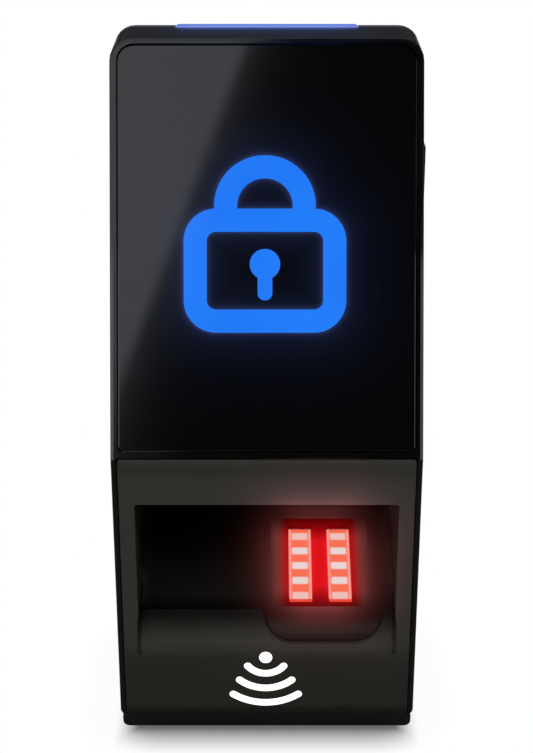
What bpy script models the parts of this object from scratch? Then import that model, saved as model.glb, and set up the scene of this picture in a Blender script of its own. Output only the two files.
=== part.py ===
"""Wall-mounted access reader: a hooked-on terminal with a black glass front, a lit status
display, a finger recess over an optical sensor, and a card antenna behind the chin.

Metres, +Z up, +X to the right as seen from the front. The wall is the plane y = 0 and the
front faces -Y, so a depth below is a distance out from the wall and lies at y = -depth.
The origin is on the back face of the wall plate, half way up the terminal.
"""
import math

import bmesh
import bpy
from mathutils import Vector

# Whole terminal
BODY_WIDTH = 0.068
BODY_HEIGHT = 0.1553
BODY_DEPTH = 0.062
GAP = 0.0003
OVERRUN = 0.004
HEAD_BACK_DEPTH = 0.015
RIM_DEPTH = 0.0295
KNEE_DROP = 0.00865
KNEE_RADIUS = 0.006
APRON_SETBACK = 0.002
CHIN_SETBACK = 0.0016
CHIN_RISE = 0.0063
CORNER_RADIUS = 0.0047
FOOT_CHAMFER = 0.0014

# Front frame
FRAME_WALL = 0.0012
FRAME_TOP_WALL = 0.002
FRAME_EDGE_RADIUS = 0.0007
FRAME_STEP = 0.0005
FRAME_FOOT_RISE = 0.0034
BOSS_WIDTH = 0.0068
BOSS_HEIGHT = 0.008
BOSS_LENGTH = 0.0058

# Front glass with its tape, and the display behind it
GLASS_MARGIN = 0.00177
GLASS_TOP_MARGIN = 0.0014
GLASS_FOOT_MARGIN = 0.00312
GLASS_THICKNESS = 0.0018
GLASS_SINK = 0.0002
GLASS_RADIUS = 0.0036
GLASS_FOOT_RADIUS = 0.0009
GLASS_EDGE = 0.0002
TAPE_THICKNESS = 0.0005
TAPE_WIDTH = 0.0028
LEDGE_THICKNESS = 0.0016
LEDGE_WIDTH = 0.0042
CROSSBAR_HEIGHT = 0.0013
PANEL_MARGIN = 0.0095
PANEL_START = 0.012
PANEL_LENGTH = 0.060
PANEL_EDGE = 0.0006
DISPLAY_BOARD_MARGIN = 0.0048
DISPLAY_BOARD_START = 0.0092
DISPLAY_BOARD_LENGTH = 0.076
BOARD_THICKNESS = 0.0016

# Lower bezel with its finger recess
BEZEL_WALL = 0.0022
BEZEL_EDGE_RADIUS = 0.0004
BEZEL_CORNER_RADIUS = 0.0012
CHIN_MARGIN = 0.0005
CHIN_RADIUS = 0.0015
CHIN_FLOOR = 0.0019
RECESS_MARGIN = 0.0048
RECESS_DROP = 0.0097
RECESS_RADIUS = 0.0008
RECESS_BACK_DEPTH = 0.0223
BROW_THICKNESS = 0.002
CHEEK_WALL = 0.0018
CHEEK_FRONT_LENGTH = 0.011
SEAM_RISE = 0.0022
LIP_RISE = 0.0142
LIP_RADIUS = 0.009
LIP_TURN = math.radians(70)
LIP_ROOT_TURN = math.radians(25)
LIP_OVERTURN = math.radians(5)
LIP_GROOVE_WIDTH = 0.0006
LIP_GROOVE_DEPTH = 0.0005
SCOOP_MARGIN = 0.002
SCOOP_WIDTH = 0.0284
SCOOP_RISE = 0.0023
SCOOP_RADIUS = 0.0075
SCOOP_DEPTH = 0.0012

# Finger guide and optical sensor
GUIDE_FLOOR = 0.003
GUIDE_BACK_WALL = 0.0018
GUIDE_FILLET = 0.0022
GUIDE_BEND = 0.003
DISH_MARGIN = 0.0016
DISH_RADIUS = 0.004
TONGUE_THICKNESS = 0.0016
SENSOR_OFFSET = 0.0005
WINDOW_WIDTH = 0.0232
WINDOW_LENGTH = 0.0276
WINDOW_FOOT_MARGIN = 0.0018
WINDOW_CHAMFER = 0.0022
WINDOW_THICKNESS = 0.0012
STRIP_WIDTH = 0.0054
STRIP_LENGTH = 0.0232
STRIP_THICKNESS = 0.0009
STRIP_SPACING = 0.0092
PRISM_THICKNESS = 0.0056
SENSOR_WALL = 0.0022
SENSOR_BOARD_MARGIN = 0.0004

# Card antenna behind the chin
ANTENNA_MARGIN = 0.006
ANTENNA_DROP = 0.0023
ANTENNA_LENGTH = 0.0111
ANTENNA_THICKNESS = 0.0012

# Rear housing with its set-in base
BACK_THICKNESS = 0.002
BASE_MARGIN = 0.008
BASE_TOP = 0.054
BASE_BOTTOM = -0.060
BASE_BACK_DEPTH = 0.001
BASE_RADIUS = 0.003
BASE_WALL = 0.002
BASE_FLOOR_DEPTH = 0.004
BASE_FLOOR = 0.002
BASE_TOP_BACK_DEPTH = 0.0055
BAY_WIDTH = 0.034
BAY_TOP = -0.0095
BAY_BOTTOM = -0.050
BAY_RADIUS = 0.003
SEAL_THICKNESS = 0.0006
SEAL_WIDTH = 0.0013
SEAL_INSET = 0.0005

# Wall plate, hooks and security screw
PLATE_THICKNESS = 0.002
PLATE_MARGIN = 0.003
PLATE_TOP = 0.0515
PLATE_BOTTOM = -0.056
PLATE_RADIUS = 0.004
CABLE_HOLE_WIDTH = 0.030
CABLE_HOLE_TOP = -0.008
CABLE_HOLE_BOTTOM = -0.046
CABLE_HOLE_RADIUS = 0.005
WALL_SLOT_WIDTH = 0.0039
WALL_SLOT_HEIGHT = 0.0075
WALL_SLOT_INSET = 0.0045
WALL_SLOT_HEIGHTS = (0.037, -0.0495)
HOOK_SPREAD = 0.014
HOOK_WIDTH = 0.006
HOOK_THICKNESS = 0.0016
HOOK_REACH = 0.009
HOOK_TIP_RISE = 0.0024
PIVOT_HEIGHT = 0.0493
SLOT_FREEDOM = 0.0006
SLOT_DROP = 0.0043
SWING_ANGLE = math.radians(25)
TAB_WIDTH = 0.012
TAB_REACH = 0.0125
SCREW_DEPTH = 0.0085
SECURITY_SHANK_RADIUS = 0.0015
SECURITY_HEAD_RADIUS = 0.0029
SECURITY_HEAD_HEIGHT = 0.0025
SECURITY_TIP_RISE = 0.001
DRIVE_RADIUS = 0.0011
DRIVE_DEPTH = 0.0013

# Light bar on the top edge
LIGHT_BAR_WIDTH = 0.0406
LIGHT_BAR_DEPTH = 0.0031
LIGHT_BAR_HEIGHT = 0.0039
LIGHT_BAR_RISE = 0.0003
LIGHT_BAR_EDGE = 0.0004
LIGHT_BOARD_WIDTH = 0.038
LIGHT_BOARD_DEPTH = 0.0045
LIGHT_BOARD_THICKNESS = 0.0012

# Main board and what it carries
MAIN_BOARD_DEPTH = 0.024
MAIN_BOARD_MARGIN = 0.005
MAIN_BOARD_DROP = 0.0215
MAIN_BOARD_BOTTOM = -0.014
POST_RADIUS = 0.0024
POST_MARGIN = 0.0074
POST_INSET = 0.0035
BOARD_SCREW_RADIUS = 0.0012
BOARD_SCREW_HEAD_RADIUS = 0.0021
BOARD_SCREW_HEAD_HEIGHT = 0.0014
BOARD_SCREW_LENGTH = 0.0065
HOUSING_SCREW_MARGIN = 0.0045
HOUSING_SCREW_DROP = 0.008
HOUSING_SCREW_RISE = 0.0115
HOUSING_SCREW_RADIUS = 0.00125
HOUSING_SCREW_HEAD_RADIUS = 0.0023
HOUSING_SCREW_HEAD_HEIGHT = 0.0016
HOUSING_SCREW_LENGTH = 0.0075
SHIELD_INSET = 0.0045
SHIELD_BOTTOM = 0.010
SHIELD_WIDTH = 0.026
SHIELD_HEIGHT = 0.022
SHIELD_THICKNESS = 0.0022
CELL_INSET = 0.014
CELL_HEIGHT = 0.002
CELL_RADIUS = 0.008
CELL_THICKNESS = 0.0025
CELL_HOLDER_SIDE = 0.0196
CELL_HOLDER_FLOOR = 0.0008
BUZZER_INSET = 0.0125
BUZZER_HEIGHT = -0.0035
BUZZER_RADIUS = 0.0045
BUZZER_LENGTH = 0.004
BUZZER_HOLE_RADIUS = 0.001
JACK_LEFT = -0.0165
JACK_WIDTH = 0.016
JACK_BOTTOM = -0.0080
JACK_LENGTH = 0.0155
JACK_HEIGHT = 0.0134
JACK_MOUTH_WIDTH = 0.0118
JACK_MOUTH_HEIGHT = 0.0070
JACK_MOUTH_LENGTH = 0.0110
JACK_FLOOR = 0.0022
TERMINAL_LEFT = 0.0030
TERMINAL_BOTTOM = -0.0080
TERMINAL_PITCH = 0.0035
TERMINAL_WAYS = 5
TERMINAL_LENGTH = 0.0090
TERMINAL_HEIGHT = 0.0092
TERMINAL_WELL_RADIUS = 0.0012
TERMINAL_ENTRY_SIDE = 0.0022
TERMINAL_WELL_DEPTH = 0.003

# Tamper switch
TAMPER_CENTRE = (-0.0190, 0.0200)
TAMPER_SIDE = 0.006
TAMPER_BODY_BACK_DEPTH = 0.0125
TAMPER_RADIUS = 0.0015
TAMPER_TRAVEL = 0.001
TAMPER_ENGAGEMENT = 0.0025
TAMPER_CAP_RADIUS = 0.0004

# Service port and its hinged cover
PORT_PIVOT_MARGIN = 0.0011
PORT_PIVOT_DROP = 0.02365
COVER_DEPTH_START = 0.0215
COVER_WIDTH = 0.011
COVER_LENGTH = 0.0141
COVER_OUT = 0.0019
COVER_IN = 0.0009
COVER_TOP_RISE = 0.0003
COVER_FOOT_CHAMFER = 0.0010
KNUCKLE_RADIUS = 0.0011
PIN_RADIUS = 0.0004
PIN_SEAT = 0.0011
POCKET_DEPTH = 0.0025
PORT_WALL_THICKNESS = 0.002
PORT_BLOCK_MARGIN = 0.0022
USB_WIDTH = 0.0075
USB_HEIGHT = 0.0027
USB_LENGTH = 0.0055
USB_DROP = 0.03335
USB_WALL = 0.0004
USB_MOUTH_LENGTH = 0.0040

# Facets
ARC_STEPS = 6
FINE_ARC_STEPS = 10
SCREW_SIDES = 16
ROUND_SIDES = 32
SHARP_ANGLE = math.radians(35)
EDGE_SEGMENTS = 2

# Colours
GLOSS_BLACK = (0.012, 0.012, 0.014)
MATTE_BLACK = (0.022, 0.020, 0.018)
GUIDE_BLACK = (0.006, 0.006, 0.007)
RUBBER_BLACK = (0.015, 0.015, 0.015)
ZINC_GREY = (0.55, 0.56, 0.58)
SCREW_GREY = (0.30, 0.30, 0.32)
BOARD_GREEN = (0.010, 0.085, 0.030)
CONNECTOR_GREEN = (0.020, 0.200, 0.060)
TIN_GREY = (0.62, 0.62, 0.60)
LAMP_BLUE = (0.25, 0.33, 0.95)
LAMP_RED = (0.85, 0.05, 0.03)
PANEL_BLACK = (0.008, 0.009, 0.014)
PRISM_CLEAR = (0.60, 0.30, 0.30)


class Plane:
    """A plane seen edge-on from the side: it has an origin, a way along it and a way out of it."""

    def __init__(self, depth, height, lean):
        self.origin = Vector((depth, height))
        self.along = Vector((math.sin(lean), -math.cos(lean)))
        self.out = Vector((math.cos(lean), math.sin(lean)))

    def side(self, along, out=0.0):
        depth, height = self.origin + self.along * along + self.out * out
        return depth, height

    def face(self, x, along, out):
        depth, height = self.side(along, out)
        return Vector((x, -depth, height))

    def across(self, x, out, along):
        return self.face(x, along, out)


# Heights and planes that follow from the sizes above
HALF_WIDTH = BODY_WIDTH / 2
TOP = BODY_HEIGHT / 2
BOTTOM = -TOP
KNEE_HEIGHT = -KNEE_DROP
APRON_FALL = KNEE_HEIGHT - BOTTOM - CHIN_RISE
GLASS_LEAN = math.atan2(BODY_DEPTH - RIM_DEPTH, TOP - KNEE_HEIGHT)
APRON_LEAN = math.atan2(APRON_SETBACK, APRON_FALL)
KNEE_DISTANCE = (BODY_DEPTH - RIM_DEPTH) / math.sin(GLASS_LEAN)
KNEE_TURN = GLASS_LEAN + APRON_LEAN
KNEE_TANGENT = KNEE_RADIUS * math.tan(KNEE_TURN / 2)
GLASS_PLANE = Plane(RIM_DEPTH, TOP, GLASS_LEAN)
APRON_PLANE = Plane(BODY_DEPTH, KNEE_HEIGHT, -APRON_LEAN)
APRON_LENGTH = APRON_FALL / math.cos(APRON_LEAN)

GLASS_HALF_WIDTH = HALF_WIDTH - GLASS_MARGIN
GLASS_BACK = -GLASS_SINK - GLASS_THICKNESS
TAPE_FRONT = GLASS_BACK - GAP
LEDGE_FRONT = TAPE_FRONT - TAPE_THICKNESS - GAP
LEDGE_BACK = LEDGE_FRONT - LEDGE_THICKNESS
LEDGE_HALF_WIDTH = GLASS_HALF_WIDTH - LEDGE_WIDTH
GLASS_END = KNEE_DISTANCE - GLASS_FOOT_MARGIN
BEZEL_START = GLASS_END + GAP + CROSSBAR_HEIGHT + GAP

FRAME_HALF_INSIDE = HALF_WIDTH - FRAME_WALL
SEAL_BACK = HEAD_BACK_DEPTH + BACK_THICKNESS + GAP
FRAME_BACK_DEPTH = SEAL_BACK + SEAL_THICKNESS + GAP
FRAME_FOOT = BOTTOM + FRAME_FOOT_RISE
BACK_FRONT_DEPTH = HEAD_BACK_DEPTH + BACK_THICKNESS

BEZEL_HALF_WIDTH = FRAME_HALF_INSIDE - GAP
CHIN_HALF_WIDTH = HALF_WIDTH - CHIN_MARGIN
RECESS_HALF_WIDTH = HALF_WIDTH - RECESS_MARGIN
GUIDE_HALF_WIDTH = RECESS_HALF_WIDTH - GAP
BROW_HEIGHT = APRON_PLANE.side(RECESS_DROP)[1]
LIP_DROP = APRON_FALL - LIP_RISE
LIP_DEPTH, LIP_HEIGHT = APRON_PLANE.side(LIP_DROP)
LIP_CENTRE = (LIP_DEPTH - LIP_RADIUS, LIP_HEIGHT)
LIP_END = (LIP_CENTRE[0] + LIP_RADIUS * math.cos(LIP_TURN), LIP_CENTRE[1] + LIP_RADIUS * math.sin(LIP_TURN))
CHEEK_BACK_DEPTH = LIP_DEPTH - CHEEK_FRONT_LENGTH

RAMP_SLOPE = math.pi / 2 - LIP_TURN
GUIDE_BACK_DEPTH = RECESS_BACK_DEPTH + GAP
RAMP_LENGTH = (LIP_END[0] - GUIDE_BACK_DEPTH) / math.cos(RAMP_SLOPE)
RAMP_RISE = RAMP_LENGTH * math.sin(RAMP_SLOPE)
RAMP_PLANE = Plane(GUIDE_BACK_DEPTH, LIP_END[1] + RAMP_RISE, math.pi / 2 - RAMP_SLOPE)
SEAM_HEIGHT = LIP_END[1] + RAMP_RISE + SEAM_RISE
SCOOP_CENTRE = RECESS_HALF_WIDTH - SCOOP_MARGIN - SCOOP_WIDTH / 2
SENSOR_CENTRE = SCOOP_CENTRE - SENSOR_OFFSET
DISH_OUT = -SCOOP_DEPTH
WINDOW_START = RAMP_LENGTH - WINDOW_FOOT_MARGIN - WINDOW_LENGTH
WINDOW_CENTRE_ALONG = WINDOW_START + WINDOW_LENGTH / 2
STRIP_TOP = DISH_OUT - WINDOW_THICKNESS - GAP
PRISM_TOP = STRIP_TOP - STRIP_THICKNESS - GAP
PRISM_BOTTOM = PRISM_TOP - PRISM_THICKNESS
SENSOR_CASE_TOP = -GUIDE_FLOOR - GAP
SENSOR_BOARD_TOP = PRISM_BOTTOM - GAP

BASE_HALF_WIDTH = HALF_WIDTH - BASE_MARGIN
PLATE_HALF_WIDTH = BASE_HALF_WIDTH - PLATE_MARGIN
WALL_SLOT_SPREAD = PLATE_HALF_WIDTH - WALL_SLOT_INSET
PIVOT_DEPTH = BASE_FLOOR_DEPTH + BASE_FLOOR / 2
HOOK_TOP = PIVOT_HEIGHT - GAP
TAB_TOP = PLATE_BOTTOM + HOOK_THICKNESS
SECURITY_HEAD_TOP = BASE_BOTTOM - GAP
MAIN_BOARD_FRONT = MAIN_BOARD_DEPTH + BOARD_THICKNESS
MAIN_BOARD_TOP = TOP - MAIN_BOARD_DROP
MAIN_BOARD_HALF_WIDTH = HALF_WIDTH - MAIN_BOARD_MARGIN
SHIELD_LEFT = SHIELD_INSET - MAIN_BOARD_HALF_WIDTH
CELL_CENTRE = (MAIN_BOARD_HALF_WIDTH - CELL_INSET, CELL_HEIGHT)
BUZZER_CENTRE = (BUZZER_INSET - MAIN_BOARD_HALF_WIDTH, BUZZER_HEIGHT)
POST_SPREAD = HALF_WIDTH - POST_MARGIN
HOUSING_SCREW_SPREAD = HALF_WIDTH - HOUSING_SCREW_MARGIN
HOUSING_SCREW_HEIGHTS = (TOP - HOUSING_SCREW_DROP, BOTTOM + HOUSING_SCREW_RISE)
POST_HEIGHTS = (MAIN_BOARD_TOP - POST_INSET, MAIN_BOARD_BOTTOM + POST_INSET)
JACK_FRONT_DEPTH = MAIN_BOARD_DEPTH - GAP
PORT_PIVOT_X = HALF_WIDTH - PORT_PIVOT_MARGIN
PORT_PIVOT_HEIGHT = TOP - PORT_PIVOT_DROP
POCKET_FLOOR_X = HALF_WIDTH - POCKET_DEPTH
PORT_WALL_INNER_X = POCKET_FLOOR_X - PORT_WALL_THICKNESS
USB_CENTRE_HEIGHT = TOP - USB_DROP
POCKET_TOP = PORT_PIVOT_HEIGHT + math.hypot(COVER_OUT, COVER_TOP_RISE) + GAP
POCKET_BOTTOM = PORT_PIVOT_HEIGHT - math.hypot(COVER_LENGTH, COVER_IN) - GAP
COVER_DEPTH_END = COVER_DEPTH_START + COVER_WIDTH


def clear_scene():
    for thing in list(bpy.data.objects):
        bpy.data.objects.remove(thing, do_unlink=True)


def finish(name, colour, roughness, metallic=0.0, glow=0.0, clearness=0.0):
    """Make a plain surface finish from its colour, roughness and metal share."""
    material = bpy.data.materials.new(name)
    material.use_nodes = True
    shader = material.node_tree.nodes["Principled BSDF"]
    shader.inputs["Base Color"].default_value = (*colour, 1.0)
    shader.inputs["Roughness"].default_value = roughness
    shader.inputs["Metallic"].default_value = metallic
    shader.inputs["Transmission Weight"].default_value = clearness
    shader.inputs["Emission Color"].default_value = (*colour, 1.0)
    shader.inputs["Emission Strength"].default_value = glow
    material.diffuse_color = (*colour, 1.0)
    return material


def side_view(depth, height, x):
    return Vector((x, -depth, height))


def front_view(x, height, depth):
    return Vector((x, -depth, height))


def top_view(x, depth, height):
    return Vector((x, -depth, height))


def rectangle(left, right, bottom, top):
    return [(left, bottom), (right, bottom), (right, top), (left, top)]


def arc(centre, radius, start, end, steps=ARC_STEPS):
    """Points on an arc from one angle to another, both ends included."""
    points = []
    for step in range(steps + 1):
        angle = start + (end - start) * step / steps
        points.append((centre[0] + radius * math.cos(angle), centre[1] + radius * math.sin(angle)))
    return points


def rounded(left, right, bottom, top, low_radius, high_radius):
    """A rectangle with round corners, one radius for the low pair and one for the high pair."""
    points = []
    points += arc((left + low_radius, bottom + low_radius), low_radius, math.pi, 1.5 * math.pi)
    points += arc((right - low_radius, bottom + low_radius), low_radius, 1.5 * math.pi, 2 * math.pi)
    points += arc((right - high_radius, top - high_radius), high_radius, 0, 0.5 * math.pi)
    points += arc((left + high_radius, top - high_radius), high_radius, 0.5 * math.pi, math.pi)
    return points


def new_piece(name, form, material, smooth=False):
    """Turn a finished bmesh into a named object with its faces pointing out."""
    bmesh.ops.recalc_face_normals(form, faces=form.faces)
    mesh = bpy.data.meshes.new(name)
    form.to_mesh(mesh)
    form.free()
    if smooth:
        mesh.shade_smooth()
        mesh.set_sharp_from_angle(angle=SHARP_ANGLE)
    piece = bpy.data.objects.new(name, mesh)
    bpy.context.scene.collection.objects.link(piece)
    if material:
        mesh.materials.append(material)
    return piece


def prism(name, outline, place, low, high, material=None, smooth=False):
    """Close an outline between two offsets; place turns its points into points in space."""
    form = bmesh.new()
    near = [form.verts.new(place(u, v, low)) for u, v in outline]
    far = [form.verts.new(place(u, v, high)) for u, v in outline]
    form.faces.new(near)
    form.faces.new(far)
    for index, corner in enumerate(near):
        following = (index + 1) % len(near)
        form.faces.new((corner, near[following], far[following], far[index]))
    return new_piece(name, form, material, smooth)


def turned(name, stations, start, direction, material=None, sides=ROUND_SIDES):
    """Turn a body about a line: each station is a distance along it and a radius there."""
    axis = Vector(direction).normalized()
    across = axis.orthogonal().normalized()
    up = axis.cross(across)
    form = bmesh.new()
    rings = []
    for distance, radius in stations:
        centre = Vector(start) + axis * distance
        ring = []
        for side in range(sides):
            angle = 2 * math.pi * side / sides
            ring.append(form.verts.new(centre + (across * math.cos(angle) + up * math.sin(angle)) * radius))
        rings.append(ring)
    form.faces.new(rings[0])
    form.faces.new(rings[-1])
    for ring, following in zip(rings, rings[1:]):
        for side in range(sides):
            after = (side + 1) % sides
            form.faces.new((ring[side], ring[after], following[after], following[side]))
    return new_piece(name, form, material, smooth=True)


def combine(piece, tools, operation):
    """Change a piece by other shapes, which stay as hidden wire guides."""
    for tool in tools:
        change = piece.modifiers.new(tool.name, "BOOLEAN")
        change.operation = operation
        change.solver = "EXACT"
        change.object = tool
        tool.hide_render = True
        tool.display_type = "WIRE"
    return piece


def cut(piece, *tools):
    return combine(piece, tools, "DIFFERENCE")


def join(piece, *tools):
    return combine(piece, tools, "UNION")


def keep_inside(piece, *tools):
    return combine(piece, tools, "INTERSECT")


def soften(piece, width, angle=SHARP_ANGLE, segments=EDGE_SEGMENTS):
    """Round the edges that are sharper than an angle."""
    change = piece.modifiers.new("edge_radius", "BEVEL")
    change.width = width
    change.segments = segments
    change.limit_method = "ANGLE"
    change.angle_limit = angle
    return piece


def mirrored_spans(inner, outer):
    """The same span on the left and on the right, each given low end first."""
    return (("left", -outer, -inner), ("right", inner, outer))


def knee_bend(offset):
    """The knee of the front as arc points, moved in or out by an offset."""
    centre = GLASS_PLANE.side(KNEE_DISTANCE - KNEE_TANGENT, -KNEE_RADIUS)
    return arc(centre, KNEE_RADIUS + offset, GLASS_LEAN, -APRON_LEAN, ARC_STEPS)


def frame_knee():
    """The knee of the frame, which sinks as it turns until it lies a step behind the bezel."""
    centre = Vector(GLASS_PLANE.side(KNEE_DISTANCE - KNEE_TANGENT, -KNEE_RADIUS))
    points = []
    for step, point in enumerate(arc(centre, KNEE_RADIUS, GLASS_LEAN, -APRON_LEAN)):
        sunk_share = FRAME_STEP / KNEE_RADIUS * step / ARC_STEPS
        points.append(tuple(Vector(point).lerp(centre, sunk_share)))
    return points


def head_outline(bottom, low_radius):
    return rounded(-HALF_WIDTH, HALF_WIDTH, bottom, TOP, low_radius, CORNER_RADIUS)


# Front frame


def frame_profile():
    """Side view of the frame: glass line, knee and apron edge, running past its top and foot."""
    foot_along = (KNEE_HEIGHT - FRAME_FOOT + OVERRUN) / math.cos(APRON_LEAN)
    top_depth, above = GLASS_PLANE.side(-OVERRUN)
    profile = [(FRAME_BACK_DEPTH, above), (top_depth, above)]
    profile += frame_knee()
    profile += [APRON_PLANE.side(foot_along, -FRAME_STEP), (FRAME_BACK_DEPTH, FRAME_FOOT - OVERRUN)]
    return profile


def frame_cavity():
    """Side view of the space inside: behind the glass ledge, and open to the front below it."""
    ceiling = TOP - FRAME_TOP_WALL
    ledge_top_along = (TOP - ceiling + LEDGE_BACK * math.sin(GLASS_LEAN)) / math.cos(GLASS_LEAN)
    crossbar_end = GLASS_END + GAP + CROSSBAR_HEIGHT
    outside_depth = BODY_DEPTH + OVERRUN
    below = FRAME_FOOT - OVERRUN
    return [
        (FRAME_BACK_DEPTH - OVERRUN, ceiling),
        GLASS_PLANE.side(ledge_top_along, LEDGE_BACK),
        GLASS_PLANE.side(crossbar_end, LEDGE_BACK),
        GLASS_PLANE.side(crossbar_end, OVERRUN),
        (outside_depth, below),
        (FRAME_BACK_DEPTH - OVERRUN, below),
    ]


def glass_outline(margin):
    """Outline of the glass on its plane, larger all round by a margin."""
    half = GLASS_HALF_WIDTH + margin
    start, end = GLASS_TOP_MARGIN - margin, GLASS_END + margin
    return rounded(-half, half, start, end, GLASS_RADIUS + margin, GLASS_FOOT_RADIUS + margin)


def ledge_outline():
    start = GLASS_TOP_MARGIN + LEDGE_WIDTH
    return rectangle(-LEDGE_HALF_WIDTH, LEDGE_HALF_WIDTH, start, GLASS_END - LEDGE_WIDTH)


def add_screw_bosses(frame):
    for number, height in enumerate(HOUSING_SCREW_HEIGHTS):
        low = height - BOSS_HEIGHT / 2
        for side, left, right in mirrored_spans(FRAME_HALF_INSIDE + GAP - BOSS_WIDTH, FRAME_HALF_INSIDE + GAP):
            block = rectangle(left, right, low, low + BOSS_HEIGHT)
            start = FRAME_BACK_DEPTH + GAP
            boss = prism(f"boss_{side}_{number}", block, front_view, start, start + BOSS_LENGTH)
            join(frame, boss)
    for index, (x, height) in enumerate(housing_screw_places()):
        radius = HOUSING_SCREW_RADIUS + GAP
        stations = [(0, radius), (HOUSING_SCREW_LENGTH, radius)]
        start = front_view(x, height, HEAD_BACK_DEPTH)
        cut(frame, turned(f"boss_bore_{index}", stations, start, (0, -1, 0), sides=SCREW_SIDES))


def add_port(frame):
    """Thicken the right wall, sink the cover's pocket into it and open the port in its floor."""
    block_low = POCKET_BOTTOM - PORT_BLOCK_MARGIN
    block_high = POCKET_TOP + PORT_BLOCK_MARGIN
    start = COVER_DEPTH_START - GAP - PORT_BLOCK_MARGIN
    end = COVER_DEPTH_END + GAP + PORT_BLOCK_MARGIN
    wall = rectangle(PORT_WALL_INNER_X, FRAME_HALF_INSIDE + GAP, block_low, block_high)
    join(frame, prism("port_block", wall, front_view, start, end))
    pocket = rectangle(POCKET_FLOOR_X, HALF_WIDTH + OVERRUN, POCKET_BOTTOM, POCKET_TOP)
    cut(frame, prism("port_pocket", pocket, front_view, COVER_DEPTH_START - GAP, COVER_DEPTH_END + GAP))
    mouth_low = USB_CENTRE_HEIGHT - USB_WIDTH / 2
    mouth = rectangle(PORT_WALL_INNER_X - OVERRUN, POCKET_FLOOR_X + GAP, mouth_low, mouth_low + USB_WIDTH)
    usb_depth = MAIN_BOARD_FRONT + GAP
    cut(frame, prism("port_mouth", mouth, front_view, usb_depth, usb_depth + USB_HEIGHT))
    length = COVER_WIDTH + 2 * (GAP + PIN_SEAT + GAP)
    pin_start = front_view(PORT_PIVOT_X, PORT_PIVOT_HEIGHT, COVER_DEPTH_START - GAP - PIN_SEAT - GAP)
    stations = [(0, PIN_RADIUS + GAP), (length, PIN_RADIUS + GAP)]
    cut(frame, turned("pin_seats", stations, pin_start, (0, -1, 0), sides=SCREW_SIDES))


def light_bar_notch(name):
    half = LIGHT_BAR_WIDTH / 2 + GAP
    low = TOP + LIGHT_BAR_RISE - LIGHT_BAR_HEIGHT - GAP
    end = HEAD_BACK_DEPTH + LIGHT_BAR_DEPTH + GAP
    return prism(name, rectangle(-half, half, low, TOP + OVERRUN), front_view, HEAD_BACK_DEPTH - OVERRUN, end)


def make_front_frame(material):
    """The side and top shell, whose front edge frames the glass."""
    reach = HALF_WIDTH + OVERRUN
    frame = prism("front_frame", frame_profile(), side_view, -reach, reach, material)
    outline = head_outline(FRAME_FOOT, FOOT_CHAMFER)
    keep_inside(frame, prism("frame_outline", outline, front_view, 0, BODY_DEPTH + OVERRUN))
    soften(frame, FRAME_EDGE_RADIUS)
    cut(frame, prism("frame_cavity", frame_cavity(), side_view, -FRAME_HALF_INSIDE, FRAME_HALF_INSIDE))
    add_screw_bosses(frame)
    add_port(frame)
    cut(frame, prism("glass_seat", glass_outline(GAP), GLASS_PLANE.face, LEDGE_FRONT, OVERRUN))
    cut(frame, prism("display_opening", ledge_outline(), GLASS_PLANE.face, LEDGE_BACK - GAP, LEDGE_FRONT + GAP))
    return cut(frame, light_bar_notch("frame_light_notch"))


# Glass and display


def make_front_glass(material):
    glass = prism("front_glass", glass_outline(0), GLASS_PLANE.face, GLASS_BACK, -GLASS_SINK, material)
    return soften(glass, GLASS_EDGE, math.radians(60))


def make_glass_tape(material):
    """The adhesive frame that holds the glass on its ledge."""
    back = TAPE_FRONT - TAPE_THICKNESS
    ring = prism("glass_tape", glass_outline(-GAP), GLASS_PLANE.face, back, TAPE_FRONT, material)
    half = GLASS_HALF_WIDTH - GAP - TAPE_WIDTH
    inside = rectangle(-half, half, GLASS_TOP_MARGIN + TAPE_WIDTH, GLASS_END - TAPE_WIDTH)
    return cut(ring, prism("tape_inside", inside, GLASS_PLANE.face, TAPE_FRONT - OVERRUN, TAPE_FRONT + OVERRUN))


def make_display_panel(material):
    half = HALF_WIDTH - PANEL_MARGIN
    outline = rectangle(-half, half, PANEL_START, PANEL_START + PANEL_LENGTH)
    panel = prism("display_panel", outline, GLASS_PLANE.face, LEDGE_BACK, TAPE_FRONT, material)
    return soften(panel, PANEL_EDGE)


def make_display_board(material):
    end = DISPLAY_BOARD_START + DISPLAY_BOARD_LENGTH
    half = HALF_WIDTH - DISPLAY_BOARD_MARGIN
    outline = rectangle(-half, half, DISPLAY_BOARD_START, end)
    front = LEDGE_BACK - GAP
    return prism("display_board", outline, GLASS_PLANE.face, front - BOARD_THICKNESS, front, material)


# Lower bezel


def bezel_wall():
    """Side view of the bezel's wall, from the crossbar over the knee to the chin, and its floor."""
    chin_depth = BODY_DEPTH - APRON_SETBACK - CHIN_SETBACK
    under_depth = chin_depth - CHIN_SETBACK * OVERRUN / CHIN_RISE
    outside = [GLASS_PLANE.side(BEZEL_START)]
    outside += knee_bend(0)[1:]
    outside += [APRON_PLANE.side(APRON_LENGTH), (under_depth, BOTTOM - OVERRUN)]
    outside += [(FRAME_BACK_DEPTH, BOTTOM - OVERRUN)]
    floor = BOTTOM + CHIN_FLOOR
    inside = [(FRAME_BACK_DEPTH, floor), (chin_depth - BEZEL_WALL, floor)]
    inside += [APRON_PLANE.side(APRON_LENGTH, -BEZEL_WALL)]
    inside += knee_bend(-BEZEL_WALL)[-1:]
    inside += [GLASS_PLANE.side(BEZEL_START, -BEZEL_WALL)]
    return outside + inside


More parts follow.
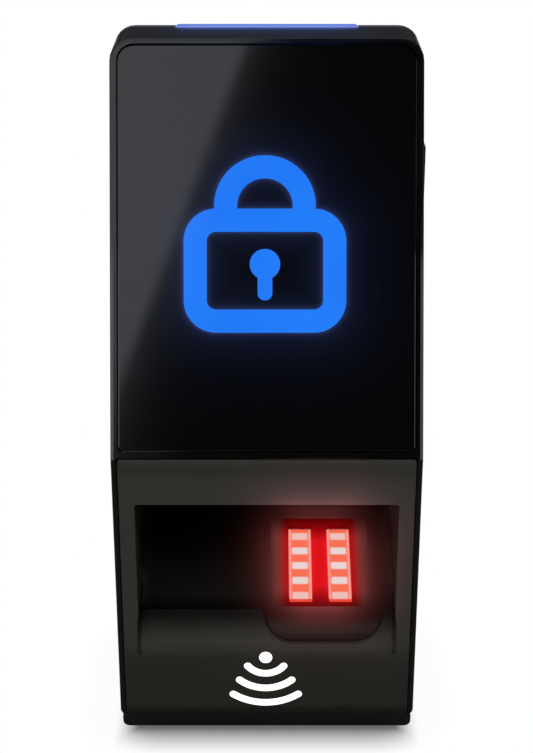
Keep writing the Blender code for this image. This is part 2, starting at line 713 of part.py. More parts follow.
def bezel_outline():
    """Front view of the bezel: narrow between the frame's sides, wide where it runs under them."""
    half, step = CHIN_HALF_WIDTH, FRAME_FOOT - GAP
    top = GLASS_PLANE.side(BEZEL_START)[1] + GAP
    low_centre = BOTTOM + CHIN_RADIUS
    corner = BEZEL_HALF_WIDTH - BEZEL_CORNER_RADIUS
    high_centre = top - BEZEL_CORNER_RADIUS
    outline = arc((-half + CHIN_RADIUS, low_centre), CHIN_RADIUS, math.pi, 1.5 * math.pi)
    outline += arc((half - CHIN_RADIUS, low_centre), CHIN_RADIUS, 1.5 * math.pi, 2 * math.pi)
    outline += [(half, step), (BEZEL_HALF_WIDTH, step)]
    outline += arc((corner, high_centre), BEZEL_CORNER_RADIUS, 0, 0.5 * math.pi)
    outline += arc((-corner, high_centre), BEZEL_CORNER_RADIUS, 0.5 * math.pi, math.pi)
    return outline + [(-BEZEL_HALF_WIDTH, step), (-half, step)]


def recess_walls():
    """Side view of the block that the recess is cut from: brow above, cheeks at both sides."""
    front = BODY_DEPTH - BEZEL_WALL / 2
    return [(RECESS_BACK_DEPTH, BROW_HEIGHT + BROW_THICKNESS), (front, BROW_HEIGHT + BROW_THICKNESS),
            (front - APRON_SETBACK, LIP_HEIGHT), (CHEEK_BACK_DEPTH, LIP_HEIGHT),
            (CHEEK_BACK_DEPTH, SEAM_HEIGHT), (RECESS_BACK_DEPTH, SEAM_HEIGHT)]


def lip_wall():
    """Side view of the rolled lip, a round wall that turns in from the front face."""
    turn = LIP_TURN + LIP_OVERTURN
    outer = arc(LIP_CENTRE, LIP_RADIUS + GAP, LIP_ROOT_TURN, turn, FINE_ARC_STEPS)
    inner = arc(LIP_CENTRE, LIP_RADIUS - BEZEL_WALL, turn, LIP_ROOT_TURN, FINE_ARC_STEPS)
    front, root = LIP_DEPTH - BEZEL_WALL / 4, LIP_HEIGHT - BEZEL_WALL
    back = LIP_DEPTH - BEZEL_WALL * 5 / 4
    return [(front, root), (front, LIP_HEIGHT)] + outer + inner + [(back, root)]


def recess_space():
    """Side view of the finger recess: under the brow, over the lip and down behind it."""
    roll = arc(LIP_CENTRE, LIP_RADIUS, 0, LIP_TURN, FINE_ARC_STEPS)
    back, front = RECESS_BACK_DEPTH - OVERRUN, BODY_DEPTH + OVERRUN
    above = BROW_HEIGHT + BROW_THICKNESS
    below = LIP_HEIGHT - LIP_RADIUS / 2
    return [(back, above), (front, above), (front, LIP_HEIGHT)] + roll + [(LIP_END[0], below), (back, below)]


def lip_groove():
    """Side view of the groove round each end of the lip."""
    floor = arc(LIP_CENTRE, LIP_RADIUS - LIP_GROOVE_DEPTH, 0, LIP_TURN, FINE_ARC_STEPS)
    edge = arc(LIP_CENTRE, LIP_RADIUS + OVERRUN, LIP_TURN, 0, FINE_ARC_STEPS)
    return floor + edge


def scoop_outline(margin):
    """Front view of the U that the scoop cuts into the lip, smaller all round by a margin."""
    left = SCOOP_CENTRE - SCOOP_WIDTH / 2 + margin
    right = SCOOP_CENTRE + SCOOP_WIDTH / 2 - margin
    bottom = LIP_HEIGHT + SCOOP_RISE + margin
    radius = SCOOP_RADIUS - margin
    outline = arc((left + radius, bottom + radius), radius, math.pi, 1.5 * math.pi, FINE_ARC_STEPS)
    outline += arc((right - radius, bottom + radius), radius, 1.5 * math.pi, 2 * math.pi, FINE_ARC_STEPS)
    top = LIP_END[1] + OVERRUN
    return outline + [(right, top), (left, top)]


def make_lower_bezel(material):
    """The matte moulding below the glass, with the finger recess, the rolled lip and the chin."""
    bezel = prism("lower_bezel", bezel_wall(), side_view, -HALF_WIDTH, HALF_WIDTH, material)
    keep_inside(bezel, prism("bezel_outline", bezel_outline(), front_view, 0, BODY_DEPTH + OVERRUN))
    soften(bezel, BEZEL_EDGE_RADIUS, math.radians(50))
    reach = RECESS_HALF_WIDTH + CHEEK_WALL
    join(bezel, prism("recess_walls", recess_walls(), side_view, -reach, reach))
    lip_reach = RECESS_HALF_WIDTH + CHEEK_WALL / 2
    join(bezel, prism("lip_wall", lip_wall(), side_view, -lip_reach, lip_reach))
    space = prism("recess_space", recess_space(), side_view, -HALF_WIDTH, HALF_WIDTH)
    low = LIP_HEIGHT - LIP_RADIUS
    mouth = rounded(-RECESS_HALF_WIDTH, RECESS_HALF_WIDTH, low, BROW_HEIGHT, RECESS_RADIUS, RECESS_RADIUS)
    keep_inside(space, prism("recess_mouth", mouth, front_view, 0, BODY_DEPTH + OVERRUN * 2))
    cut(bezel, space)
    inner = RECESS_HALF_WIDTH - LIP_GROOVE_WIDTH
    for side, left, right in mirrored_spans(inner, RECESS_HALF_WIDTH + GAP):
        cut(bezel, prism(f"lip_groove_{side}", lip_groove(), side_view, left, right))
    front = BODY_DEPTH + OVERRUN
    return cut(bezel, prism("scoop_cut", scoop_outline(0), front_view, CHEEK_BACK_DEPTH, front))


# Finger guide and sensor


def ramp_height(depth, out):
    """Height of the ramp, or of a plane beside it, at a depth."""
    along = (depth - RAMP_PLANE.origin[0] - out * RAMP_PLANE.out[0]) / RAMP_PLANE.along[0]
    return RAMP_PLANE.side(along, out)[1]


def guide_profile():
    """Side view of the guide: back wall, round bend, then the ramp down to the lip."""
    ceiling = BROW_HEIGHT - GAP
    back = GUIDE_BACK_DEPTH - GUIDE_BACK_WALL
    end = RAMP_LENGTH - GAP
    setback = GUIDE_BEND / math.tan((math.pi / 2 + RAMP_SLOPE) / 2)
    centre = RAMP_PLANE.side(setback, GUIDE_BEND)
    bend = arc(centre, GUIDE_BEND, math.pi, 1.5 * math.pi - RAMP_SLOPE)
    outline = [(GUIDE_BACK_DEPTH, ceiling)] + bend
    outline += [RAMP_PLANE.side(end), RAMP_PLANE.side(end, -GUIDE_FLOOR)]
    outline += [(back, ramp_height(back, -GUIDE_FLOOR)), (back, ceiling)]
    return outline


def guide_cheek():
    """Side view of a low cheek of the guide, which ends at the seam under the bezel's cheek."""
    front = CHEEK_BACK_DEPTH - GAP
    back = GUIDE_BACK_DEPTH - GUIDE_BACK_WALL
    seam = SEAM_HEIGHT - GAP
    under = -GUIDE_FLOOR + 2 * GAP
    return [(front, seam), (back, seam), (back, ramp_height(back, under)), (front, ramp_height(front, under))]


def guide_spread():
    """Side view of the floor where it widens to carry the cheeks."""
    front = CHEEK_BACK_DEPTH - 2 * GAP
    back = GUIDE_BACK_DEPTH - GUIDE_BACK_WALL / 2
    top = -GAP
    under = -GUIDE_FLOOR + GAP
    return [(front, ramp_height(front, top)), (back, ramp_height(back, top)),
            (back, ramp_height(back, under)), (front, ramp_height(front, under))]


def fillet_section(side):
    """Section across the ramp of the hollow fillet between its floor and one cheek."""
    wall = RECESS_HALF_WIDTH
    buried = CHEEK_WALL / 2
    hollow = arc((wall - GUIDE_FILLET, GUIDE_FILLET), GUIDE_FILLET, 1.5 * math.pi, 2 * math.pi)
    outline = hollow + [(wall + buried, GUIDE_FILLET), (wall + buried, -buried), (wall - GUIDE_FILLET, -buried)]
    return [(side * x, out) for x, out in outline]


def tongue_shell():
    """Side view of the tongue, a round wall that runs inside the lip at the depth of the scoop."""
    outer = LIP_RADIUS - SCOOP_DEPTH
    root = LIP_TURN + RAMP_SLOPE / 2
    front = arc(LIP_CENTRE, outer, 0, root, FINE_ARC_STEPS)
    back = arc(LIP_CENTRE, outer - TONGUE_THICKNESS, root, 0, FINE_ARC_STEPS)
    return front + back


def sensor_rectangle(width, start, length, margin=0.0):
    """A rectangle on the ramp, centred on the sensor, larger all round by a margin."""
    half = width / 2 + margin
    return rectangle(SENSOR_CENTRE - half, SENSOR_CENTRE + half, start - margin, start + length + margin)


def window_outline(margin):
    """The window on the ramp, with its two lower corners cut off, larger all round by a margin."""
    half = WINDOW_WIDTH / 2 + margin
    left, right = SENSOR_CENTRE - half, SENSOR_CENTRE + half
    start, end = WINDOW_START - margin, WINDOW_START + WINDOW_LENGTH + margin
    chamfer = WINDOW_CHAMFER + margin * (2 - math.sqrt(2))
    return [(left, start), (right, start), (right, end - chamfer), (right - chamfer, end),
            (left + chamfer, end), (left, end - chamfer)]


def make_finger_guide(material):
    """The glossy tray behind the bezel: ramp, cheeks, dished seat of the sensor and tongue."""
    guide = prism("finger_guide", guide_profile(), side_view, -GUIDE_HALF_WIDTH, GUIDE_HALF_WIDTH, material)
    reach = RECESS_HALF_WIDTH + CHEEK_WALL
    join(guide, prism("guide_spread", guide_spread(), side_view, -reach, reach))
    cheek_length = (CHEEK_BACK_DEPTH - GAP - GUIDE_BACK_DEPTH) / math.cos(RAMP_SLOPE)
    fillet_end = cheek_length - GUIDE_FILLET * math.tan(RAMP_SLOPE) - GAP
    for side, left, right in mirrored_spans(RECESS_HALF_WIDTH, reach):
        join(guide, prism(f"guide_cheek_{side}", guide_cheek(), side_view, left, right))
        sense = 1 if side == "right" else -1
        section = fillet_section(sense)
        join(guide, prism(f"guide_fillet_{side}", section, RAMP_PLANE.across, GUIDE_BEND, fillet_end))
    shell = prism("guide_tongue", tongue_shell(), side_view, 0, SCOOP_CENTRE + SCOOP_WIDTH)
    keep_inside(shell, prism("tongue_outline", scoop_outline(GAP), front_view, CHEEK_BACK_DEPTH, BODY_DEPTH))
    half = SCOOP_WIDTH / 2 - GAP
    dish_end = RAMP_LENGTH + OVERRUN
    dish_start = WINDOW_START - DISH_MARGIN
    dish = rounded(SCOOP_CENTRE - half, SCOOP_CENTRE + half, dish_start, dish_end, DISH_RADIUS, GAP)
    cut(guide, prism("dish", dish, RAMP_PLANE.face, DISH_OUT, OVERRUN))
    join(guide, shell)
    hole = window_outline(GAP)
    cut(guide, prism("window_hole", hole, RAMP_PLANE.face, -GUIDE_FLOOR - OVERRUN, OVERRUN))
    return guide


def make_sensor(glass, red, clear, case_material, board):
    """Window, two strips of lamps, prism, case and board, stacked square to the ramp."""
    prism("sensor_window", window_outline(0), RAMP_PLANE.face, DISH_OUT - WINDOW_THICKNESS, DISH_OUT, glass)
    strip_start = WINDOW_CENTRE_ALONG - STRIP_LENGTH / 2
    for side, centre in (("left", -STRIP_SPACING / 2), ("right", STRIP_SPACING / 2)):
        left = SENSOR_CENTRE + centre - STRIP_WIDTH / 2
        strip = rectangle(left, left + STRIP_WIDTH, strip_start, strip_start + STRIP_LENGTH)
        prism(f"light_strip_{side}", strip, RAMP_PLANE.face, STRIP_TOP - STRIP_THICKNESS, STRIP_TOP, red)
    block = sensor_rectangle(WINDOW_WIDTH, WINDOW_START, WINDOW_LENGTH)
    prism("sensor_prism", block, RAMP_PLANE.face, PRISM_BOTTOM, PRISM_TOP, clear)
    outside = sensor_rectangle(WINDOW_WIDTH, WINDOW_START, WINDOW_LENGTH, GAP + SENSOR_WALL)
    case = prism("sensor_case", outside, RAMP_PLANE.face, PRISM_BOTTOM, SENSOR_CASE_TOP, case_material)
    inside = sensor_rectangle(WINDOW_WIDTH, WINDOW_START, WINDOW_LENGTH, GAP)
    cut(case, prism("case_inside", inside, RAMP_PLANE.face, PRISM_BOTTOM - OVERRUN, OVERRUN))
    back = sensor_rectangle(WINDOW_WIDTH, WINDOW_START, WINDOW_LENGTH, SENSOR_WALL - SENSOR_BOARD_MARGIN)
    low = SENSOR_BOARD_TOP - BOARD_THICKNESS
    prism("sensor_board", back, RAMP_PLANE.face, low, SENSOR_BOARD_TOP, board)


def make_antenna_board(material):
    half = HALF_WIDTH - ANTENNA_MARGIN
    start = LIP_DROP + ANTENNA_DROP
    outline = rectangle(-half, half, start, start + ANTENNA_LENGTH)
    front = -BEZEL_WALL - GAP
    return prism("antenna_board", outline, APRON_PLANE.face, front - ANTENNA_THICKNESS, front, material)


# Rear housing


def housing_screw_places():
    return [(side * HOUSING_SCREW_SPREAD, height) for height in HOUSING_SCREW_HEIGHTS for side in (-1, 1)]


def board_post_places():
    return [(side * POST_SPREAD, height) for height in POST_HEIGHTS for side in (-1, 1)]


def base_box(name, margin, bottom, top, low, high):
    """A box as deep as two given depths and as wide as the base less a margin on each side."""
    half = BASE_HALF_WIDTH - margin
    return prism(name, rectangle(-half, half, bottom, top), front_view, low, high)


def base_relief():
    """Side view of the wedge cut off the base above the hooks, which lets the terminal swing."""
    outside = BASE_BACK_DEPTH - OVERRUN
    return [(outside, PIVOT_HEIGHT), (BASE_BACK_DEPTH, PIVOT_HEIGHT), (BASE_TOP_BACK_DEPTH, BASE_TOP),
            (BASE_TOP_BACK_DEPTH, BASE_TOP + OVERRUN), (outside, BASE_TOP + OVERRUN)]


def hook_slot():
    """Side view of a hook's slot, whose top edge slants so that it clears the hook in the swing."""
    front = BASE_FLOOR_DEPTH + BASE_FLOOR + GAP
    low = PIVOT_HEIGHT - SLOT_DROP
    rise = PIVOT_DEPTH * math.tan(SWING_ANGLE)
    return [(0, low), (front, low), (front, PIVOT_HEIGHT), (PIVOT_DEPTH, PIVOT_HEIGHT), (0, PIVOT_HEIGHT + rise)]


def cut_hook_slots(housing):
    for side in (-1, 1):
        half = HOOK_WIDTH / 2 + SLOT_FREEDOM
        centre = side * HOOK_SPREAD
        cut(housing, prism(f"hook_slot_{side}", hook_slot(), side_view, centre - half, centre + half))


def cut_screw_way(housing):
    """Open the base for the plate's tab, and slot its bottom wall so that it slides off the screw."""
    half = TAB_WIDTH / 2 + SLOT_FREEDOM
    ceiling = TAB_TOP + SLOT_FREEDOM
    tab = rectangle(-half, half, BASE_BOTTOM + BASE_WALL, ceiling)
    cut(housing, prism("tab_slot", tab, front_view, 0, BASE_FLOOR_DEPTH + BASE_FLOOR + GAP))
    radius = SECURITY_SHANK_RADIUS + GAP
    slot = [(-radius, BASE_BACK_DEPTH - OVERRUN), (radius, BASE_BACK_DEPTH - OVERRUN)]
    slot += arc((0, SCREW_DEPTH), radius, 0, math.pi)
    low = BASE_BOTTOM - OVERRUN
    cut(housing, prism("screw_slot", slot, top_view, low, BASE_BOTTOM + BASE_WALL + GAP))


def add_board_posts(housing):
    top = MAIN_BOARD_DEPTH - GAP
    foot = BACK_FRONT_DEPTH - GAP
    bore = BOARD_SCREW_RADIUS + GAP
    for index, (x, height) in enumerate(board_post_places()):
        start = front_view(x, height, foot)
        post = turned(f"post_{index}", [(0, POST_RADIUS), (top - foot, POST_RADIUS)], start, (0, -1, 0))
        join(housing, post)
    for index, (x, height) in enumerate(board_post_places()):
        start = front_view(x, height, BACK_FRONT_DEPTH + GAP)
        length = top - BACK_FRONT_DEPTH + OVERRUN
        cut(housing, turned(f"post_bore_{index}", [(0, bore), (length, bore)], start, (0, -1, 0), sides=SCREW_SIDES))


def make_rear_housing(material):
    """The back of the head and the smaller base behind it, open where it hangs on the plate."""
    outline = head_outline(BOTTOM, FOOT_CHAMFER)
    housing = prism("rear_housing", outline, front_view, HEAD_BACK_DEPTH, BACK_FRONT_DEPTH, material)
    half = BASE_HALF_WIDTH
    shape = rounded(-half, half, BASE_BOTTOM, BASE_TOP, BASE_RADIUS, BASE_RADIUS)
    base = prism("base", shape, front_view, BASE_BACK_DEPTH, HEAD_BACK_DEPTH + BACK_THICKNESS / 2)
    cut(base, prism("base_relief", base_relief(), side_view, -HALF_WIDTH, HALF_WIDTH))
    join(housing, base)
    low, high = BASE_BOTTOM + BASE_WALL, BASE_TOP - BASE_WALL
    floor_front = BASE_FLOOR_DEPTH + BASE_FLOOR
    cut(housing, base_box("base_inside", BASE_WALL, low, high, floor_front, BACK_FRONT_DEPTH + OVERRUN))
    cut(housing, base_box("plate_recess", BASE_WALL, low, high, BASE_BACK_DEPTH - OVERRUN, BASE_FLOOR_DEPTH))
    cut_hook_slots(housing)
    cut_screw_way(housing)
    bay = rounded(-BAY_WIDTH / 2, BAY_WIDTH / 2, BAY_BOTTOM, BAY_TOP, BAY_RADIUS, BAY_RADIUS)
    cut(housing, prism("connector_bay", bay, front_view, BASE_FLOOR_DEPTH - OVERRUN / 2, floor_front + GAP))
    radius = TAMPER_RADIUS + GAP
    start = front_view(*TAMPER_CENTRE, BASE_FLOOR_DEPTH - GAP)
    stations = [(0, radius), (BASE_FLOOR + 2 * GAP, radius)]
    cut(housing, turned("tamper_hole", stations, start, (0, -1, 0), sides=SCREW_SIDES))
    for index, (x, height) in enumerate(housing_screw_places()):
        radius = HOUSING_SCREW_RADIUS + GAP
        start = front_view(x, height, HEAD_BACK_DEPTH - GAP)
        stations = [(0, radius), (BACK_THICKNESS + 2 * GAP, radius)]
        cut(housing, turned(f"housing_bore_{index}", stations, start, (0, -1, 0), sides=SCREW_SIDES))
    cut(housing, light_bar_notch("housing_light_notch"))
    add_board_posts(housing)
    return housing


def make_housing_seal(material):
    """The flat rubber frame between the back and the front frame."""
    half = HALF_WIDTH - SEAL_INSET
    low, high = BOTTOM + SEAL_INSET, TOP - SEAL_INSET
    outline = rounded(-half, half, low, high, FOOT_CHAMFER, CORNER_RADIUS - SEAL_INSET)
    seal = prism("housing_seal", outline, front_view, SEAL_BACK, SEAL_BACK + SEAL_THICKNESS, material)
    inner = half - SEAL_WIDTH
    corner = CORNER_RADIUS - SEAL_INSET - SEAL_WIDTH
    inside = rounded(-inner, inner, low + SEAL_WIDTH, high - SEAL_WIDTH, FOOT_CHAMFER, corner)
    cut(seal, prism("seal_inside", inside, front_view, SEAL_BACK - GAP, SEAL_BACK + SEAL_THICKNESS + GAP))
    cut(seal, light_bar_notch("seal_light_notch"))
    return seal


# Wall plate


def hook_profile():
    """Side view of a hook: a tongue out of the plate with its tip turned up."""
    tip = HOOK_REACH - HOOK_THICKNESS
    under = HOOK_TOP - HOOK_THICKNESS
    root = PLATE_THICKNESS / 2
    return [(root, under), (HOOK_REACH, under), (HOOK_REACH, HOOK_TOP + HOOK_TIP_RISE),
            (tip, HOOK_TOP + HOOK_TIP_RISE), (tip, HOOK_TOP), (root, HOOK_TOP)]


def make_wall_plate(material):
    """The pressed plate on the wall: hooks at the top, a tapped tab at the bottom."""
    half = PLATE_HALF_WIDTH
    outline = rounded(-half, half, PLATE_BOTTOM, PLATE_TOP, PLATE_RADIUS, PLATE_RADIUS)
    plate = prism("wall_plate", outline, front_view, 0, PLATE_THICKNESS, material)
    for side in (-1, 1):
        centre = side * HOOK_SPREAD
        left, right = centre - HOOK_WIDTH / 2, centre + HOOK_WIDTH / 2
        join(plate, prism(f"hook_{side}", hook_profile(), side_view, left, right))
    tab = rectangle(PLATE_THICKNESS / 2, TAB_REACH, PLATE_BOTTOM, TAB_TOP)
    join(plate, prism("tab", tab, side_view, -TAB_WIDTH / 2, TAB_WIDTH / 2))
    radius = SECURITY_SHANK_RADIUS + GAP
    stations = [(0, radius), (HOOK_THICKNESS + 2 * GAP, radius)]
    start = top_view(0, SCREW_DEPTH, PLATE_BOTTOM - GAP)
    cut(plate, turned("tab_bore", stations, start, (0, 0, 1), sides=SCREW_SIDES))
    width = CABLE_HOLE_WIDTH / 2
    hole = rounded(-width, width, CABLE_HOLE_BOTTOM, CABLE_HOLE_TOP, CABLE_HOLE_RADIUS, CABLE_HOLE_RADIUS)
    cut(plate, prism("cable_hole", hole, front_view, -OVERRUN, PLATE_THICKNESS + GAP))
    for height in WALL_SLOT_HEIGHTS:
        for side in (-1, 1):
            centre = side * WALL_SLOT_SPREAD
            left, right = centre - WALL_SLOT_WIDTH / 2, centre + WALL_SLOT_WIDTH / 2
            low, high = height - WALL_SLOT_HEIGHT / 2, height + WALL_SLOT_HEIGHT / 2
            radius = WALL_SLOT_WIDTH / 2 - GAP
            slot = rounded(left, right, low, high, radius, radius)
            cut(plate, prism(f"wall_slot_{side}_{height > 0}", slot, front_view, -OVERRUN, PLATE_THICKNESS + GAP))
    return plate


def make_security_screw(material):
    """The screw under the terminal, threaded into the tab, with a drive socket in its head."""
    shank_top = TAB_TOP + SECURITY_TIP_RISE - SECURITY_HEAD_TOP
    stations = [
        (-SECURITY_HEAD_HEIGHT, SECURITY_HEAD_RADIUS - GAP),
        (-SECURITY_HEAD_HEIGHT + GAP, SECURITY_HEAD_RADIUS),
        (0, SECURITY_HEAD_RADIUS),
        (GAP / 2, SECURITY_SHANK_RADIUS),
        (shank_top - GAP, SECURITY_SHANK_RADIUS),
        (shank_top, SECURITY_SHANK_RADIUS - GAP),
    ]
    screw = turned("security_screw", stations, top_view(0, SCREW_DEPTH, SECURITY_HEAD_TOP), (0, 0, 1), material)
    start = top_view(0, SCREW_DEPTH, SECURITY_HEAD_TOP - SECURITY_HEAD_HEIGHT - GAP)
    stations = [(0, DRIVE_RADIUS), (DRIVE_DEPTH + GAP, DRIVE_RADIUS)]
    return cut(screw, turned("security_socket", stations, start, (0, 0, 1), sides=6))


# Light bar


def make_light_bar(material, board):
    half = LIGHT_BAR_WIDTH / 2
    high = TOP + LIGHT_BAR_RISE
    low = high - LIGHT_BAR_HEIGHT
    outline = rounded(-half, half, low, high, GAP, LIGHT_BAR_EDGE * 2)
    bar = prism("light_bar", outline, front_view, HEAD_BACK_DEPTH, HEAD_BACK_DEPTH + LIGHT_BAR_DEPTH, material)
    soften(bar, LIGHT_BAR_EDGE / 2, math.radians(60))
    reach = LIGHT_BOARD_WIDTH / 2
    strip = rectangle(-reach, reach, low - GAP - LIGHT_BOARD_THICKNESS, low - GAP)
    back = BACK_FRONT_DEPTH + GAP
    prism("light_bar_board", strip, front_view, back, back + LIGHT_BOARD_DEPTH, board)


# Screws


def pan_screw(name, x, height, seat_depth, shank_radius, head_radius, head_height, length, sense, material):
    """A pan-head screw whose head sits on a seat; sense is -1 when its shank points to the wall."""
    stations = [
        (-head_height, head_radius - head_height / 2),
        (-head_height / 2, head_radius),
        (0, head_radius),
        (GAP / 2, shank_radius),
        (length, shank_radius),
    ]
    start = front_view(x, height, seat_depth)
    return turned(name, stations, start, (0, -sense, 0), material, sides=SCREW_SIDES)


def make_screws(material):
    for index, (x, height) in enumerate(housing_screw_places()):
        pan_screw(f"housing_screw_{index + 1}", x, height, HEAD_BACK_DEPTH - GAP, HOUSING_SCREW_RADIUS,
                  HOUSING_SCREW_HEAD_RADIUS, HOUSING_SCREW_HEAD_HEIGHT, HOUSING_SCREW_LENGTH, 1, material)
    for index, (x, height) in enumerate(board_post_places()):
        pan_screw(f"board_screw_{index + 1}", x, height, MAIN_BOARD_FRONT + GAP, BOARD_SCREW_RADIUS,
                  BOARD_SCREW_HEAD_RADIUS, BOARD_SCREW_HEAD_HEIGHT, BOARD_SCREW_LENGTH, -1, material)


# Main board and its parts


def make_main_board(material):
    half = MAIN_BOARD_HALF_WIDTH
    outline = rectangle(-half, half, MAIN_BOARD_BOTTOM, MAIN_BOARD_TOP)
    board = prism("main_board", outline, front_view, MAIN_BOARD_DEPTH, MAIN_BOARD_FRONT, material)
    for index, (x, height) in enumerate(board_post_places()):
        radius = BOARD_SCREW_RADIUS + GAP
        start = front_view(x, height, MAIN_BOARD_DEPTH - GAP)
        stations = [(0, radius), (BOARD_THICKNESS + 2 * GAP, radius)]
        cut(board, turned(f"board_bore_{index}", stations, start, (0, -1, 0), sides=SCREW_SIDES))
    return board


def make_rf_shield(material):
    right, top = SHIELD_LEFT + SHIELD_WIDTH, SHIELD_BOTTOM + SHIELD_HEIGHT
    front = MAIN_BOARD_FRONT + GAP
    shield = prism("rf_shield", rectangle(SHIELD_LEFT, right, SHIELD_BOTTOM, top), front_view, front,
                   front + SHIELD_THICKNESS, material)
    return soften(shield, GAP)


def make_coin_cell(material, metal):
    """A cell in its socket, which is open to the front."""
    x, height = CELL_CENTRE
    half = CELL_HOLDER_SIDE / 2
    back = MAIN_BOARD_FRONT + GAP
    cell_back = back + CELL_HOLDER_FLOOR + GAP
    outline = rounded(x - half, x + half, height - half, height + half, CELL_HOLDER_FLOOR, CELL_HOLDER_FLOOR)
    holder = prism("coin_cell_holder", outline, front_view, back, cell_back + CELL_THICKNESS, material)
    start = front_view(x, height, back + CELL_HOLDER_FLOOR)
    well = CELL_RADIUS + GAP
    cut(holder, turned("cell_well", [(0, well), (CELL_THICKNESS + OVERRUN, well)], start, (0, -1, 0)))
    start = front_view(x, height, cell_back)
    stations = [(0, CELL_RADIUS - GAP), (GAP, CELL_RADIUS), (CELL_THICKNESS, CELL_RADIUS)]
    turned("coin_cell", stations, start, (0, -1, 0), metal)


def make_buzzer(material):
    start = front_view(*BUZZER_CENTRE, MAIN_BOARD_FRONT + GAP)
    stations = [(0, BUZZER_RADIUS), (BUZZER_LENGTH - GAP, BUZZER_RADIUS), (BUZZER_LENGTH, BUZZER_RADIUS - GAP)]
    buzzer = turned("buzzer", stations, start, (0, -1, 0), material)
    sound_hole = front_view(*BUZZER_CENTRE, MAIN_BOARD_FRONT + BUZZER_LENGTH / 2)
    stations = [(0, BUZZER_HOLE_RADIUS), (BUZZER_LENGTH, BUZZER_HOLE_RADIUS)]
    return cut(buzzer, turned("sound_hole", stations, sound_hole, (0, -1, 0), sides=SCREW_SIDES))


def make_rj45_jack(material):
    """The network socket on the back of the board; its mouth faces down into the connector bay."""
    back = JACK_FRONT_DEPTH - JACK_HEIGHT
    right, top = JACK_LEFT + JACK_WIDTH, JACK_BOTTOM + JACK_LENGTH
    outline = rectangle(JACK_LEFT, right, JACK_BOTTOM, top)
    jack = prism("rj45_jack", outline, front_view, back, JACK_FRONT_DEPTH, material)
    mouth_left = JACK_LEFT + (JACK_WIDTH - JACK_MOUTH_WIDTH) / 2
    mouth_back = back + JACK_FLOOR
    mouth = rectangle(mouth_left, mouth_left + JACK_MOUTH_WIDTH, mouth_back, mouth_back + JACK_MOUTH_HEIGHT)
    low = JACK_BOTTOM - OVERRUN
    return cut(jack, prism("jack_mouth", mouth, top_view, low, JACK_BOTTOM + JACK_MOUTH_LENGTH))


def make_terminal_block(material):
    """Screw terminals for the door wires: wire entries below, screw wells at the back."""
    width = TERMINAL_WAYS * TERMINAL_PITCH
    back = JACK_FRONT_DEPTH - TERMINAL_HEIGHT
    top = TERMINAL_BOTTOM + TERMINAL_LENGTH
    body = rectangle(TERMINAL_LEFT, TERMINAL_LEFT + width, TERMINAL_BOTTOM, top)
    block = prism("terminal_block", body, front_view, back, JACK_FRONT_DEPTH, material)
    for way in range(TERMINAL_WAYS):
        centre = TERMINAL_LEFT + TERMINAL_PITCH / 2 + TERMINAL_PITCH * way
        half = TERMINAL_ENTRY_SIDE / 2
        middle = JACK_FRONT_DEPTH - TERMINAL_HEIGHT / 3
        entry = rectangle(centre - half, centre + half, middle - half, middle + half)
        low = TERMINAL_BOTTOM - OVERRUN
        cut(block, prism(f"wire_entry_{way}", entry, top_view, low, TERMINAL_BOTTOM + TERMINAL_WELL_DEPTH))
        start = front_view(centre, TERMINAL_BOTTOM + TERMINAL_LENGTH * 2 / 3, back - GAP)
        stations = [(0, TERMINAL_WELL_RADIUS), (TERMINAL_WELL_DEPTH, TERMINAL_WELL_RADIUS)]
        cut(block, turned(f"screw_well_{way}", stations, start, (0, -1, 0), sides=SCREW_SIDES // 2))
    return block


def make_usb_socket(material):
    """The service socket on the front of the board; its mouth faces the port in the right wall."""
    right = PORT_WALL_INNER_X - GAP
    low = USB_CENTRE_HEIGHT - USB_WIDTH / 2
    back = MAIN_BOARD_FRONT + GAP
    body = rectangle(right - USB_LENGTH, right, low, low + USB_WIDTH)
    socket = prism("usb_socket", body, front_view, back, back + USB_HEIGHT, material)
    mouth = rectangle(right - USB_MOUTH_LENGTH, right + OVERRUN, low + USB_WALL, low + USB_WIDTH - USB_WALL)
    return cut(socket, prism("usb_mouth", mouth, front_view, back + USB_WALL, back + USB_HEIGHT - USB_WALL))


def make_tamper_switch(material, plunger_material):
    """The switch that opens when the terminal leaves the wall, and its sprung plunger."""
    x, height = TAMPER_CENTRE
    half = TAMPER_SIDE / 2
    outline = rectangle(x - half, x + half, height - half, height + half)
    body = prism("tamper_switch", outline, front_view, TAMPER_BODY_BACK_DEPTH, JACK_FRONT_DEPTH, material)
    radius = TAMPER_RADIUS + GAP
    bore_length = TAMPER_ENGAGEMENT + TAMPER_TRAVEL + GAP
    start = front_view(x, height, TAMPER_BODY_BACK_DEPTH - GAP)
    cut(body, turned("tamper_bore", [(0, radius), (bore_length + GAP, radius)], start, (0, -1, 0), sides=SCREW_SIDES))
    tip_depth = PLATE_THICKNESS + GAP
    length = TAMPER_BODY_BACK_DEPTH + TAMPER_ENGAGEMENT - tip_depth
    stations = [(0, TAMPER_RADIUS - TAMPER_CAP_RADIUS), (TAMPER_CAP_RADIUS, TAMPER_RADIUS), (length, TAMPER_RADIUS)]
    start = front_view(x, height, tip_depth)
    turned("tamper_plunger", stations, start, (0, -1, 0), plunger_material, sides=SCREW_SIDES)


# Port cover


def cover_outline():
    """Front view of the closed cover about its pivot: a flap with its foot chamfered."""
    inner, outer = PORT_PIVOT_X - COVER_IN, PORT_PIVOT_X + COVER_OUT
    top = PORT_PIVOT_HEIGHT + COVER_TOP_RISE
    foot = PORT_PIVOT_HEIGHT - COVER_LENGTH
    return [(inner, foot), (outer - COVER_FOOT_CHAMFER, foot), (outer, foot + COVER_FOOT_CHAMFER),
            (outer, top), (inner, top)]


